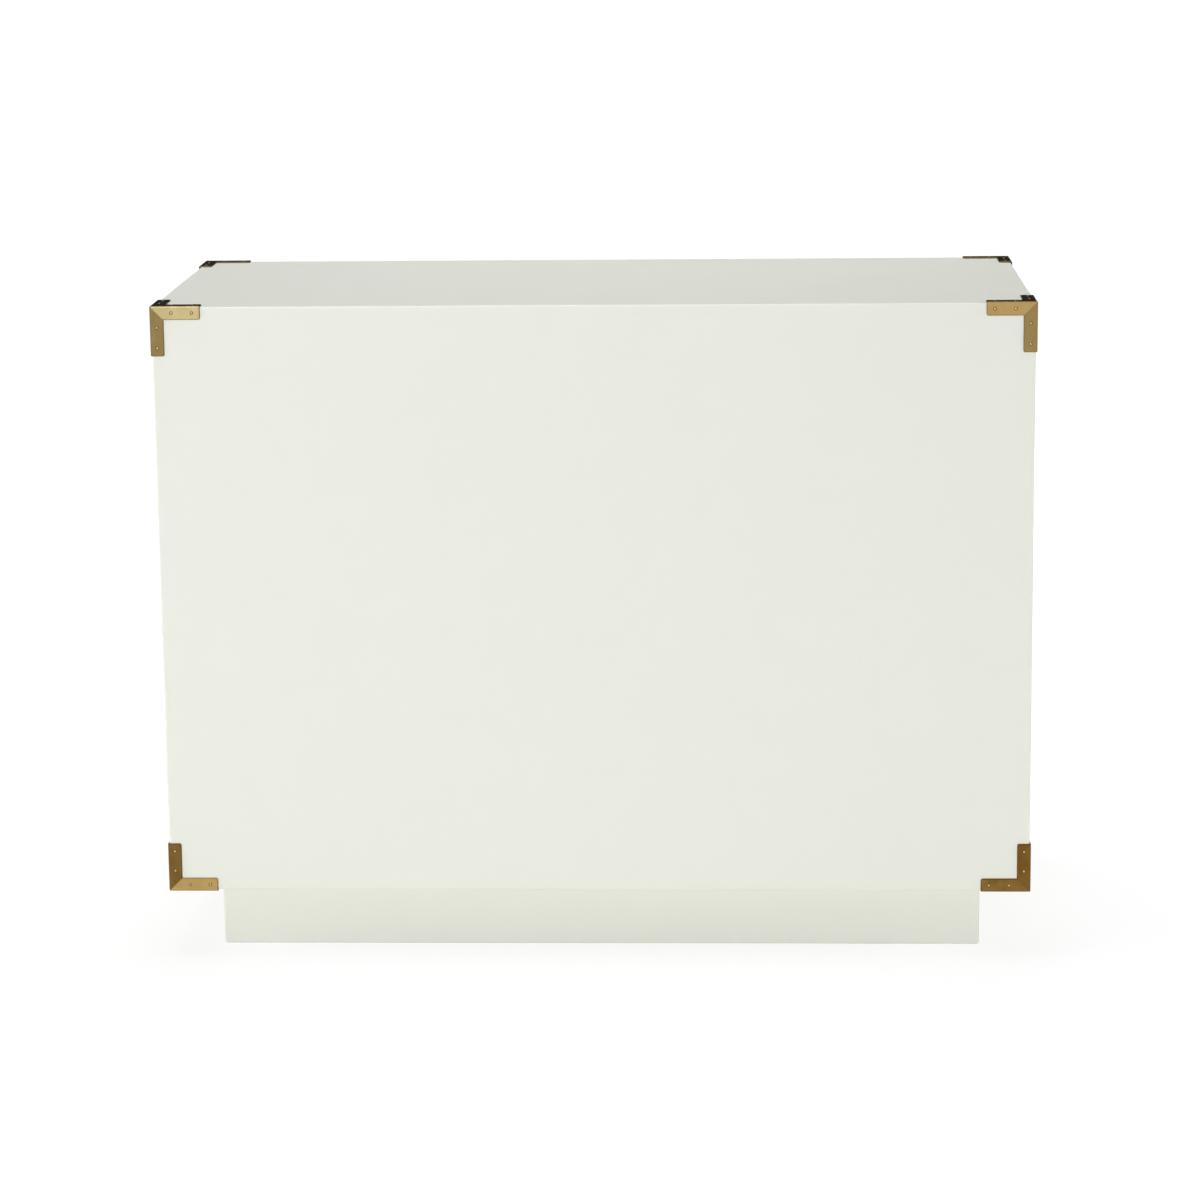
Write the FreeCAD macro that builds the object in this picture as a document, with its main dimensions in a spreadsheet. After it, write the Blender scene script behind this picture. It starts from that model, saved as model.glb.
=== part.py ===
import FreeCAD, Part
import math
import os
from enum import IntEnum
from types import SimpleNamespace

import Sketcher

# Campaign chest: a white lacquered case with brass corner brackets, on a recessed plinth, with
# three drawers on telescopic runners and two flush pulls to each drawer front.
# Frame: millimetres, +Z up, drawers open towards -Y, +X to the right of someone facing them,
# origin on the floor under the middle of the chest.

SIZES = {
    # Case: four mitred panels round a full back, with rails between the drawers.
    "case_width": 1067.0,
    "case_depth": 457.0,
    "case_height": 732.0,
    "panel_thickness": 22.0,
    "back_thickness": 18.0,
    "edge_radius": 3.0,
    "rail_thickness": 20.0,
    "rail_depth": 60.0,
    "rail_housing": 6.0,
    "rail_round": 1.2,
    # Plinth: four mitred boards, set back under the case, with blocks in the corners.
    "plinth_height": 88.0,
    "plinth_inset": 57.0,
    "plinth_thickness": 20.0,
    "block_leg": 52.0,
    "block_lift": 24.0,
    # Corner bracket: an L-shaped plate on each of three faces.
    "bracket_leg": 61.5,
    "bracket_width": 17.0,
    "bracket_thickness": 1.6,
    "bracket_corner": 2.4,
    "bracket_arris": 2.0,
    "bracket_round": 1.2,
    "pin_start": 9.5,
    "pin_end": 10.0,
    "pin_radius": 0.8,
    "pin_clear": 1.3,
    "pin_point": 1.2,
    "pin_head_radius": 1.8,
    "pin_head_height": 0.7,
    "pin_fit": 0.15,
    # Drawer: overhanging front, sides in sliding dovetails, bottom in grooves.
    "front_gap": 2.5,
    "front_thickness": 20.0,
    "front_round": 1.2,
    "side_thickness": 14.0,
    "side_lift": 16.0,
    "side_drop": 32.0,
    "rear_gap": 19.0,
    "side_round": 2.0,
    "tail_depth": 9.0,
    "tail_shoulder": 3.0,
    "tail_flare": 1.5,
    "bottom_thickness": 6.0,
    "groove_depth": 6.0,
    "groove_height": 10.0,
    "back_board": 12.0,
    "back_setback": 8.0,
    # Telescopic runner: three nested steel members on each side of a drawer.
    "runner_setback": 4.0,
    "runner_height": 45.0,
    "runner_space": 12.7,
    "runner_gap": 3.1,
    "runner_gauge": 1.2,
    "runner_lip": 2.5,
    "runner_play": 0.3,
    # Flush pull: a dished plate let into the front, with a bail that lies in the dish.
    "pull_spacing": 560.0,
    "flange_across": 9.5,
    "flange_up": 6.5,
    "plate_thickness": 2.0,
    "plate_proud": 0.8,
    "plate_corner": 5.0,
    "plate_round": 0.7,
    "plate_fit": 0.2,
    "dish_width": 78.0,
    "dish_height": 34.0,
    "dish_depth": 11.5,
    "dish_wall": 1.5,
    "dish_corner": 3.0,
    "bail_play": 0.6,
    "bail_sink": 0.4,
    "bail_thickness": 5.0,
    "bail_arm": 5.0,
    "bail_grip": 6.0,
    "bail_length": 19.0,
    "bail_corner": 7.0,
    "bail_bend": 4.0,
    "bail_round": 1.2,
    "pivot_room": 2.0,
    "pivot_radius": 1.5,
    "pivot_fit": 0.05,
    "screw_radius": 1.3,
    "screw_head_radius": 2.7,
    "screw_length": 13.0,
    "screw_point": 2.5,
    "screw_fit": 0.1,
    # One overrun serves every cut that leaves the stock.
    "overrun": 2.0,
}

# The drawers from the floor up, and the sides of the chest as signs along X.
DRAWERS = ("bottom", "middle", "top")
RAILS = ("lower", "upper")
HANDS = {"left": -1, "right": 1}

# Share of a round's radius that a mitre plane through its middle cuts off each face.
MITRE_TIP_SHARE = 1 - math.sqrt(1 / 2)
# A round that runs over a rounded corner is smaller than that corner: its share of the radius.
OVER_CORNER_SHARE = 0.8
TOLERANCE = 1e-4
UP = FreeCAD.Vector(0, 0, 1)
# Points of a sketch edge, numbered from one as constraints count them.
Spot = IntEnum("Spot", "START END CENTRE")

doc = FreeCAD.newDocument("campaign_chest")
nodes = {}


class Size:
    """A length that holds its formula over the sheet's cells and its value now."""

    def __init__(self, formula, value):
        self.formula = formula
        self.value = value

    def __add__(self, other):
        return Size(f"({self.formula} + {other.formula})", self.value + other.value)

    def __sub__(self, other):
        return Size(f"({self.formula} - {other.formula})", self.value - other.value)

    def __mul__(self, factor):
        return Size(f"({self.formula} * {factor})", self.value * factor)

    def __truediv__(self, divisor):
        return Size(f"({self.formula} / {divisor})", self.value / divisor)

    def __neg__(self):
        return self * -1

    __rmul__ = __mul__


def make_sheet():
    """Writes every driving size to a cell with an alias, and returns them as Size objects."""
    sheet = doc.addObject("Spreadsheet::Sheet", "Sizes")
    for row, (name, value) in enumerate(SIZES.items(), 1):
        sheet.set(f"A{row}", name)
        sheet.set(f"B{row}", str(value))
        sheet.setAlias(f"B{row}", name)
    doc.recompute()
    return SimpleNamespace(**{name: Size(f"Sizes.{name}", sheet.get(name)) for name in SIZES})


s = make_sheet()
ZERO = Size("0", 0)

# Planes that many pieces share.
half_width = s.case_width / 2
half_depth = s.case_depth / 2
half_height = s.case_height / 2
case_middle = s.plinth_height + half_height
front_face = -half_depth
inner_half_width = half_width - s.panel_thickness
end_round = s.edge_radius * OVER_CORNER_SHARE
rails_height = len(RAILS) * s.rail_thickness
bay_height = (s.case_height - 2 * s.panel_thickness - rails_height) / len(DRAWERS)
bay_pitch = bay_height + s.rail_thickness


def bay_floor(index):
    return s.plinth_height + s.panel_thickness + index * bay_pitch


def bind(obj, prop, size):
    obj.setExpression(prop, size.formula)


def place(obj, x=ZERO, y=ZERO, z=ZERO, turn=FreeCAD.Rotation()):
    obj.Placement = FreeCAD.Placement(FreeCAD.Vector(x.value, y.value, z.value), turn)
    for axis, size in zip("xyz", (x, y, z)):
        bind(obj, f"Placement.Base.{axis}", size)


def keep(label, obj):
    """Makes an object one of the chest's pieces, written out under its label."""
    obj.Label = label
    nodes[label] = obj
    return obj


def new_body(name):
    return doc.addObject("PartDesign::Body", name)


def new_sketch(body, role, lift=ZERO):
    """Empty sketch on one of the body's own planes, moved along the plane's normal by lift."""
    sketch = body.newObject("Sketcher::SketchObject", "outline")
    plane = next(part for part in body.Origin.OriginFeatures if part.Role == role)
    sketch.AttachmentSupport = [(plane, "")]
    sketch.MapMode = "FlatFace"
    bind(sketch, "AttachmentOffset.Base.z", lift)
    return sketch


def fix(sketch, kind, edge, point, size):
    """Holds one coordinate of a sketch point at a size."""
    index = sketch.addConstraint(Sketcher.Constraint(kind, edge, point, size.value))
    bind(sketch, f"Constraints[{index}]", size)


def fix_radius(sketch, edge, size):
    index = sketch.addConstraint(Sketcher.Constraint("Radius", edge, size.value))
    bind(sketch, f"Constraints[{index}]", size)


def bend(start, end, radius):
    """Arc that turns left from start to end."""
    chord = end - start
    left = FreeCAD.Vector(-chord.y, chord.x, 0).normalize()
    rise = math.sqrt(max(radius ** 2 - (chord.Length / 2) ** 2, 0))
    centre = start + chord / 2 + left * rise
    angles = [math.atan2(point.y - centre.y, point.x - centre.x) for point in (start, end)]
    return Part.ArcOfCircle(Part.Circle(centre, UP, radius), *angles)


def add_loop(sketch, corners, radii=None):
    """Closed loop, turning left; radii gives the radius of each segment that is an arc."""
    radii = radii or {}
    first = sketch.GeometryCount
    points = [FreeCAD.Vector(x.value, y.value, 0) for x, y in corners]
    for index, (start, end) in enumerate(zip(points, points[1:] + points[:1])):
        if index in radii:
            sketch.addGeometry(bend(start, end, radii[index].value))
        else:
            sketch.addGeometry(Part.LineSegment(start, end))
    for index, (x, y) in enumerate(corners):
        edge = first + index
        following = first + (index + 1) % len(corners)
        sketch.addConstraint(Sketcher.Constraint("Coincident", edge, Spot.END, following, Spot.START))
        fix(sketch, "DistanceX", edge, Spot.START, x)
        fix(sketch, "DistanceY", edge, Spot.START, y)
        if index in radii:
            fix_radius(sketch, edge, radii[index])


def add_circle(sketch, x, y, radius):
    centre = FreeCAD.Vector(x.value, y.value, 0)
    edge = sketch.addGeometry(Part.Circle(centre, UP, radius.value))
    fix(sketch, "DistanceX", edge, Spot.CENTRE, x)
    fix(sketch, "DistanceY", edge, Spot.CENTRE, y)
    fix_radius(sketch, edge, radius)


def rectangle(x0, x1, y0, y1):
    return [(x0, y0), (x1, y0), (x1, y1), (x0, y1)]


def rounded_rectangle(x, y, width, height, radius):
    """Corners and arc radii of a rounded rectangle about a centre."""
    x0, x1 = x - width / 2, x + width / 2
    y0, y1 = y - height / 2, y + height / 2
    corners = [
        (x0 + radius, y0),
        (x1 - radius, y0),
        (x1, y0 + radius),
        (x1, y1 - radius),
        (x1 - radius, y1),
        (x0 + radius, y1),
        (x0, y1 - radius),
        (x0, y0 + radius),
    ]
    return corners, {1: radius, 3: radius, 5: radius, 7: radius}


def pad(body, sketch, length, reverse=False):
    feature = body.newObject("PartDesign::Pad", "pad")
    feature.Profile = sketch
    feature.Reversed = reverse
    bind(feature, "Length", length)


def pocket(body, sketch, depth, reverse=False):
    """Cuts a sketch into the body, and makes sure that it took material away."""
    doc.recompute()
    before = body.Shape.Volume
    feature = body.newObject("PartDesign::Pocket", "pocket")
    feature.Profile = sketch
    feature.Reversed = reverse
    bind(feature, "Length", depth)
    doc.recompute()
    if body.Shape.Volume >= before:
        raise RuntimeError(f"{body.Name}: a pocket cut nothing")


def notch(body, start, size):
    """Cuts a square-cornered trench from the body."""
    box = body.newObject("PartDesign::SubtractiveBox", "notch")
    for prop, length in zip(("Length", "Width", "Height"), size):
        bind(box, prop, length)
    place(box, *start)


def cylinder_across(body, kind, radius, x, length, y, z):
    """Adds or cuts a cylinder along X that starts at x."""
    cylinder = body.newObject(f"PartDesign::{kind}Cylinder", "pivot")
    bind(cylinder, "Radius", radius)
    bind(cylinder, "Height", length)
    place(cylinder, x, y, z, FreeCAD.Rotation(FreeCAD.Vector(0, 1, 0), 90))


def lies_at(edge, axis, size):
    """True if the whole edge lies in the plane where that axis has that value."""
    points = [vertex.Point for vertex in edge.Vertexes] + [edge.CenterOfMass]
    return all(abs(getattr(point, axis) - size.value) < TOLERANCE for point in points)


def runs_along(edge, axis):
    """True for a straight edge parallel to an axis."""
    if edge.Curve.TypeId != "Part::GeomLine":
        return False
    return abs(abs(getattr(edge.Curve.Direction, axis)) - 1) < TOLERANCE


def soften(body, radius, chosen):
    """Rounds those edges of the body so far that chosen picks out."""
    doc.recompute()
    base = body.Tip
    names = [f"Edge{n}" for n, edge in enumerate(base.Shape.Edges, 1) if chosen(edge)]
    fillet = body.newObject("PartDesign::Fillet", "round")
    fillet.Base = (base, names)
    bind(fillet, "Radius", radius)


def mirrored(name, source, axis, height=ZERO):
    """Mirror image of a piece across the middle plane of the chest that is square to axis."""
    image = doc.addObject("Part::Mirroring", name)
    image.Source = source
    image.Normal = FreeCAD.Vector(*(1 if axis == letter else 0 for letter in "xyz"))
    bind(image, "Base.z", height)
    return image


def group(name, parts):
    compound = doc.addObject("Part::Compound", name)
    compound.Links = parts
    return compound


def turned(profile):
    """Solid of revolution about Z of a half profile given as radius and height."""
    points = [FreeCAD.Vector(radius, 0, height) for radius, height in profile]
    face = Part.Face(Part.makePolygon(points + points[:1]))
    return face.revolve(FreeCAD.Vector(), UP, 360)


def set_along(shape, point, outward):
    """Copy of a turned shape with its head at point and its axis along outward."""
    copy = shape.copy()
    copy.Placement = FreeCAD.Placement(point, FreeCAD.Rotation(UP, outward))
    return copy


def mitred_board(name, half_length, face, thickness, width):
    """Board along X with its outer face at y = face, mitred ends and its width along Z.
    Each board carries half of the round on the two edges that it shares with its neighbours."""
    body = new_body(name)
    radius = s.edge_radius
    tip = radius * MITRE_TIP_SHARE
    corners = [
        (thickness - half_length, face - thickness),
        (half_length - thickness, face - thickness),
        (half_length - tip, face - tip),
        (half_length - radius, face),
        (radius - half_length, face),
        (tip - half_length, face - tip),
    ]
    sketch = new_sketch(body, "XY_Plane")
    add_loop(sketch, corners, {2: radius, 4: radius})
    pad(body, sketch, width)
    return body


def outer_rim(edge, face, end):
    """True for the edges of a mitred board's end face that lie outside its mitres."""
    return lies_at(edge, "z", end) and edge.CenterOfMass.y > (face - s.edge_radius).value


def case_panels():
    """Top, bottom and side panels, mitred to each other, from the back panel to the front."""
    depth = s.case_depth - s.back_thickness
    lie_down = FreeCAD.Rotation(FreeCAD.Vector(1, 0, 0), 90)
    across = FreeCAD.Vector(0, 1, 0)
    panels = {
        "top_panel": (half_width, half_height, 0),
        "right_side_panel": (half_height, half_width, 90),
        "bottom_panel": (half_width, half_height, 180),
        "left_side_panel": (half_height, half_width, 270),
    }
    blanks = {}
    for label, (half_length, face, angle) in panels.items():
        body = mitred_board(f"{label}_blank", half_length, face, s.panel_thickness, depth)
        soften(body, end_round, lambda edge: outer_rim(edge, face, depth))
        if "side" in label:
            for index in range(1, len(DRAWERS)):
                rail_floor = bay_floor(index) - s.rail_thickness - case_middle
                low = rail_floor if angle == 270 else -rail_floor - s.rail_thickness
                inside = face - s.panel_thickness
                start = (low, inside - s.overrun, depth - s.rail_depth)
                size = (s.rail_thickness, s.rail_housing + s.overrun, s.rail_depth + s.overrun)
                notch(body, start, size)
        turn = FreeCAD.Rotation(across, angle) * lie_down
        place(body, y=half_depth - s.back_thickness, z=case_middle, turn=turn)
        blanks[label] = body
    return blanks


def back_panel():
    """Full back: covers the rear ends of the four mitred panels, with every edge rounded."""
    body = new_body("back_panel_blank")
    sketch = new_sketch(body, "XZ_Plane", -half_depth)
    add_loop(sketch, *rounded_rectangle(ZERO, case_middle, s.case_width, s.case_height, s.edge_radius))
    pad(body, sketch, s.back_thickness)
    soften(body, end_round, lambda edge: lies_at(edge, "y", half_depth))
    return body


def drawer_rails():
    """Rails between the drawers, flush with the front and housed in the side panels."""
    reach = inner_half_width + s.rail_housing
    for index, name in enumerate(RAILS, 1):
        body = keep(f"{name}_drawer_rail", new_body(f"{name}_drawer_rail"))
        floor = bay_floor(index) - s.rail_thickness
        sketch = new_sketch(body, "XZ_Plane", half_depth)
        add_loop(sketch, rectangle(-reach, reach, floor, floor + s.rail_thickness))
        pad(body, sketch, s.rail_depth, reverse=True)
        soften(body, s.rail_round, lambda edge: lies_at(edge, "y", front_face) and runs_along(edge, "x"))


def plinth():
    """Four mitred boards set back under the case, and a glue block in each corner."""
    half_long = half_width - s.plinth_inset
    half_short = half_depth - s.plinth_inset
    boards = {
        "plinth_back_board": (half_long, half_short, 0),
        "plinth_left_board": (half_short, half_long, 90),
        "plinth_front_board": (half_long, half_short, 180),
        "plinth_right_board": (half_short, half_long, 270),
    }
    for label, (half_length, face, angle) in boards.items():
        body = mitred_board(label, half_length, face, s.plinth_thickness, s.plinth_height)
        soften(body, end_round, lambda edge: outer_rim(edge, face, ZERO))
        place(body, turn=FreeCAD.Rotation(UP, angle))
        keep(label, body)
    block = new_body("corner_block")
    x, y = half_long - s.plinth_thickness, half_short - s.plinth_thickness
    sketch = new_sketch(block, "XY_Plane", s.block_lift)
    add_loop(sketch, [(x - s.block_leg, y), (x, y - s.block_leg), (x, y)])
    pad(block, sketch, s.plinth_height - s.block_lift)
    left = mirrored("left_block", block, "x")
    fronts = [mirrored("front_block", part, "y") for part in (block, left)]
    keep("plinth_corner_blocks", group("corner_blocks", [block, left, *fronts]))


def bracket_outline():
    """One face of a bracket: an L with its outer corner at the origin and rounded free ends."""
    leg, width, corner = s.bracket_leg, s.bracket_width, s.bracket_corner
    corners = [
        (-leg, ZERO),
        (-leg, corner - width),
        (corner - leg, -width),
        (-width, -width),
        (-width, corner - leg),
        (corner - width, -leg),
        (ZERO, -leg),
        (ZERO, ZERO),
    ]
    return corners, {1: corner, 4: corner}


def outer_planes(edge, size=ZERO):
    """How many of a bracket's three outer planes, moved by a size, an edge lies in."""
    return sum(lies_at(edge, axis, size) for axis in "xyz")


def bracket_rim(edge):
    """True for the free edges of a bracket's outer faces, beyond its rounded arrises."""
    return outer_planes(edge) == 1 and not outer_planes(edge, -s.bracket_arris)


def pin_places():
    """Places of the four pins on one face of a bracket, two along each leg."""
    middle = -s.bracket_width / 2
    reaches = (-s.bracket_width - s.pin_start, s.pin_end - s.bracket_leg)
    return [(reach, middle) for reach in reaches] + [(middle, reach) for reach in reaches]


def corner_brackets():
    """Three L-shaped plates that meet at a corner of the case, and their seven mirror images."""
    body = new_body("bracket")
    inward = {"XY_Plane": True, "YZ_Plane": True, "XZ_Plane": False}
    for role, reverse in inward.items():
        sketch = new_sketch(body, role)
        add_loop(sketch, *bracket_outline())
        pad(body, sketch, s.bracket_thickness, reverse)
    soften(body, s.bracket_arris, lambda edge: outer_planes(edge) == 2)
    soften(body, s.bracket_round, bracket_rim)
    for role, reverse in inward.items():
        sketch = new_sketch(body, role)
        for x, y in pin_places():
            add_circle(sketch, x, y, s.pin_radius + s.pin_fit)
        pocket(body, sketch, s.bracket_thickness, not reverse)
    proud = s.bracket_thickness
    place(body, half_width + proud, half_depth + proud, case_middle + half_height + proud)
    corners = {"back_right_top_bracket": body}
    for axis, old, new in (("x", "right", "left"), ("y", "back", "front"), ("z", "top", "bottom")):
        height = case_middle if axis == "z" else ZERO
        for label, source in list(corners.items()):
            image = label.replace(old, new)
            corners[image] = mirrored(f"{image}_image", source, axis, height)
    for label, bracket in corners.items():
        keep(label, bracket)


def at_bracket_pins(shape):
    """Copies of a turned shape at every pin of the eight brackets, heads outwards."""
    proud = s.bracket_thickness
    reach = (half_width + proud, half_depth + proud, case_middle + half_height + proud)
    corner = FreeCAD.Vector(*(size.value for size in reach))
    copies = []
    for u, v in ((x.value, y.value) for x, y in pin_places()):
        faces = {
            (0, 0, 1): FreeCAD.Vector(u, v, 0),
            (1, 0, 0): FreeCAD.Vector(0, u, v),
            (0, 1, 0): FreeCAD.Vector(u, 0, v),
        }
        for out, offset in faces.items():
            copies.append(set_along(shape, corner + offset, FreeCAD.Vector(*out)))
    middle = UP * case_middle.value
    for normal in ((1, 0, 0), (0, 1, 0), (0, 0, 1)):
        copies += [copy.mirror(middle, FreeCAD.Vector(*normal)) for copy in copies]
    return Part.makeCompound(copies)


def bracket_pins():
    """Escutcheon pins of all the brackets, and the drill for their holes in the case.
    Pins on two faces of a corner cross, so each stops short of the other's shank."""
    radius = s.pin_radius.value
    length = (s.bracket_width / 2 - s.pin_radius - s.pin_clear).value
    head, height = s.pin_head_radius.value, s.pin_head_height.value
    shoulder = (head + radius) / 2
    pin = turned([
        (0, -length),
        (radius, s.pin_point.value - length),
        (radius, 0),
        (head, 0),
        (shoulder, height),
        (0, height),
    ])
    pins = doc.addObject("Part::Feature", "pins")
    pins.Shape = at_bracket_pins(pin)
    pins.Placement = FreeCAD.Placement()
    keep("bracket_pins", pins)
    bore, depth = radius + s.pin_fit.value, length + s.pin_fit.value
    drill = doc.addObject("Part::Feature", "pin_drill")
    drill.Shape = at_bracket_pins(turned([(0, -depth), (bore, -depth), (bore, 0), (0, 0)]))
    drill.Placement = FreeCAD.Placement()
    return drill


def case():
    """Panels of the case, drilled for the pins of the brackets."""
    drill = bracket_pins()
    blanks = {**case_panels(), "back_panel": back_panel()}
    for label, blank in blanks.items():
        panel = doc.addObject("Part::Cut", f"{label}_drilled")
        panel.Base = blank
        panel.Tool = drill
        keep(label, panel)


# Places that the pieces of a drawer share, with heights from the floor of its bay.
front_back = front_face + s.front_thickness
side_height = bay_height - s.side_lift - s.side_drop
side_length = s.case_depth - s.back_thickness - s.front_thickness - s.rear_gap
box_half_width = inner_half_width - s.runner_space
box_inner = box_half_width - s.side_thickness
box_rear = front_back + side_length
side_top = s.side_lift + side_height
groove_floor = s.side_lift + s.groove_height
groove_top = groove_floor + s.bottom_thickness
side_middle = box_half_width - s.side_thickness / 2
tail_root = s.side_thickness / 2 - s.tail_shoulder
tail_tip = tail_root + s.tail_flare
pull_height = bay_height / 2
dish_outer_width = s.dish_width + 2 * s.dish_wall
dish_outer_height = s.dish_height + 2 * s.dish_wall
plate_width = dish_outer_width + 2 * s.flange_across
plate_height = dish_outer_height + 2 * s.flange_up


def screw_places(x, z):
    """Places of a plate's four screws, in the flanges beside the dish."""
    across = (dish_outer_width + s.flange_across) / 2
    up = s.dish_height / 2
    return [(x + i * across, z + j * up) for i in (-1, 1) for j in (-1, 1)]


def drawer_front(label, floor):
    """Front with mortises for the pulls, sliding dovetail sockets and a groove for the bottom."""
    body = keep(label, new_body(label))
    half = inner_half_width - s.front_gap
    sketch = new_sketch(body, "XZ_Plane", half_depth)
    add_loop(sketch, rectangle(-half, half, s.front_gap, bay_height - s.front_gap))
    pad(body, sketch, s.front_thickness, reverse=True)
    soften(body, s.front_round, lambda edge: lies_at(edge, "y", front_face))
    rebate = new_sketch(body, "XZ_Plane", half_depth)
    mortise = new_sketch(body, "XZ_Plane", half_depth)
    pilots = new_sketch(body, "XZ_Plane", half_depth)
    room = 2 * s.plate_fit
    for hand in HANDS.values():
        x = hand * s.pull_spacing / 2
        width, height = plate_width + room, plate_height + room
        corner = s.plate_corner + s.plate_fit
        add_loop(rebate, *rounded_rectangle(x, pull_height, width, height, corner))
        width, height = dish_outer_width + room, dish_outer_height + room
        corner = s.dish_corner + s.dish_wall + s.plate_fit
        add_loop(mortise, *rounded_rectangle(x, pull_height, width, height, corner))
        for screw_x, screw_z in screw_places(x, pull_height):
            add_circle(pilots, screw_x, screw_z, s.screw_radius + s.screw_fit)
    pocket(body, rebate, s.plate_thickness - s.plate_proud)
    pocket(body, mortise, s.dish_depth + s.dish_wall - s.plate_proud + s.plate_fit)
    pocket(body, pilots, s.screw_length)
    sockets = new_sketch(body, "XY_Plane", s.front_gap)
    for hand in HANDS.values():
        x = hand * side_middle
        socket = [
            (x - tail_tip, front_back - s.tail_depth),
            (x + tail_tip, front_back - s.tail_depth),
            (x + tail_root, front_back),
            (x + tail_root, front_back + s.overrun),
            (x - tail_root, front_back + s.overrun),
            (x - tail_root, front_back),
        ]
        add_loop(sockets, socket)
    pocket(body, sockets, side_top - s.front_gap, reverse=True)
    start = (-box_inner, front_back - s.groove_depth, groove_floor)
    notch(body, start, (2 * box_inner, s.groove_depth + s.overrun, s.bottom_thickness))
    place(body, z=floor)


def drawer_sides(drawer, floor):
    """Side with a dovetail tail, a groove for the bottom and a housing for the back, and its pair."""
    body = keep(f"{drawer}_drawer_right_side", new_body(f"{drawer}_right_side"))
    sketch = new_sketch(body, "XY_Plane", s.side_lift)
    add_loop(sketch, [
        (box_half_width, box_rear),
        (box_inner, box_rear),
        (box_inner, front_back),
        (side_middle - tail_root, front_back),
        (side_middle - tail_tip, front_back - s.tail_depth),
        (side_middle + tail_tip, front_back - s.tail_depth),
        (side_middle + tail_root, front_back),
        (box_half_width, front_back),
    ])
    pad(body, sketch, side_height)
    soften(body, s.side_round, lambda edge: lies_at(edge, "z", side_top) and runs_along(edge, "y"))
    start = (box_inner - s.overrun, front_back, groove_floor)
    length = side_length + s.overrun
    notch(body, start, (s.groove_depth + s.overrun, length, s.bottom_thickness))
    start = (box_inner - s.overrun, box_rear - s.back_setback - s.back_board, groove_top)
    size = (s.groove_depth + s.overrun, s.back_board, side_height)
    notch(body, start, size)
    place(body, z=floor)
    keep(f"{drawer}_drawer_left_side", mirrored(f"{drawer}_left_side", body, "x"))


def drawer_back_and_bottom(drawer, floor):
    """Back housed in the sides, standing on the bottom, which slides into its grooves below it."""
    reach = box_inner + s.groove_depth
    back = keep(f"{drawer}_drawer_back", new_body(f"{drawer}_back"))
    sketch = new_sketch(back, "XZ_Plane", s.back_setback - box_rear)
    add_loop(sketch, rectangle(-reach, reach, groove_top, side_top - s.side_round))
    pad(back, sketch, s.back_board)
    place(back, z=floor)
    bottom = keep(f"{drawer}_drawer_bottom", new_body(f"{drawer}_bottom"))
    sketch = new_sketch(bottom, "XY_Plane", groove_floor)
    tongue = front_back - s.groove_depth
    add_loop(sketch, [
        (-box_inner, tongue),
        (box_inner, tongue),
        (box_inner, front_back),
        (reach, front_back),
        (reach, box_rear),
        (-reach, box_rear),
        (-reach, front_back),
        (-box_inner, front_back),
    ])
    pad(bottom, sketch, s.bottom_thickness)
    place(bottom, z=floor)


def runner_sections():
    """Upper halves of the three runner sections, as distance from the case side and height."""
    gauge, play, lip = s.runner_gauge, s.runner_play, s.runner_lip
    outer_half = s.runner_height / 2
    outer_end = s.runner_space - s.runner_gap
    middle_half = outer_half - gauge - play
    middle_start = gauge + play
    middle_end = outer_end - gauge - play
    foot_half = middle_half - gauge - play
    foot_start = middle_start + gauge + play
    foot_end = middle_end - gauge - play
    arm = middle_half - lip - play
    return {
        "case": [
            (ZERO, outer_half),
            (outer_end, outer_half),
            (outer_end, outer_half - lip),
            (outer_end - gauge, outer_half - lip),
            (outer_end - gauge, outer_half - gauge),
            (gauge, outer_half - gauge),
        ],
        "middle": [
            (middle_start, middle_half),
            (middle_end, middle_half),
            (middle_end, middle_half - lip),
            (middle_end - gauge, middle_half - lip),
            (middle_end - gauge, middle_half - gauge),
            (middle_start + gauge, middle_half - gauge),
        ],
        "drawer": [
            (s.runner_space, arm),
            (foot_end, arm),
            (foot_end, foot_half),
            (foot_start, foot_half),
            (foot_start, arm - gauge),
            (s.runner_space - gauge, arm - gauge),
        ],
    }


def drawer_runners(drawer, floor):
    """Three nested members on each side: one on the case, one that floats, one on the drawer."""
    axis = s.side_lift + side_height / 2
    for member, section in runner_sections().items():
        body = new_body(f"{drawer}_{member}_member")
        upper = [(inner_half_width - reach, axis + height) for reach, height in section]
        lower = [(inner_half_width - reach, axis - height) for reach, height in reversed(section)]
        sketch = new_sketch(body, "XZ_Plane", -front_back)
        add_loop(sketch, upper + lower)
        pad(body, sketch, side_length - s.runner_setback, reverse=True)
        place(body, z=floor)
        pair = [body, mirrored(f"{drawer}_{member}_image", body, "x")]
        keep(f"{drawer}_drawer_runner_{member}_members", group(f"{drawer}_{member}_pair", pair))


# Places on a pull, from the middle of its plate on the face of the drawer front.
bail_face = s.bail_sink - s.plate_proud
bail_half = s.dish_width / 2 - s.bail_play
pivot_depth = bail_face + s.bail_thickness / 2
pivot_height = s.dish_height / 2 - s.dish_corner - s.pivot_room
grip_floor = pivot_height - s.bail_length


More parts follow.
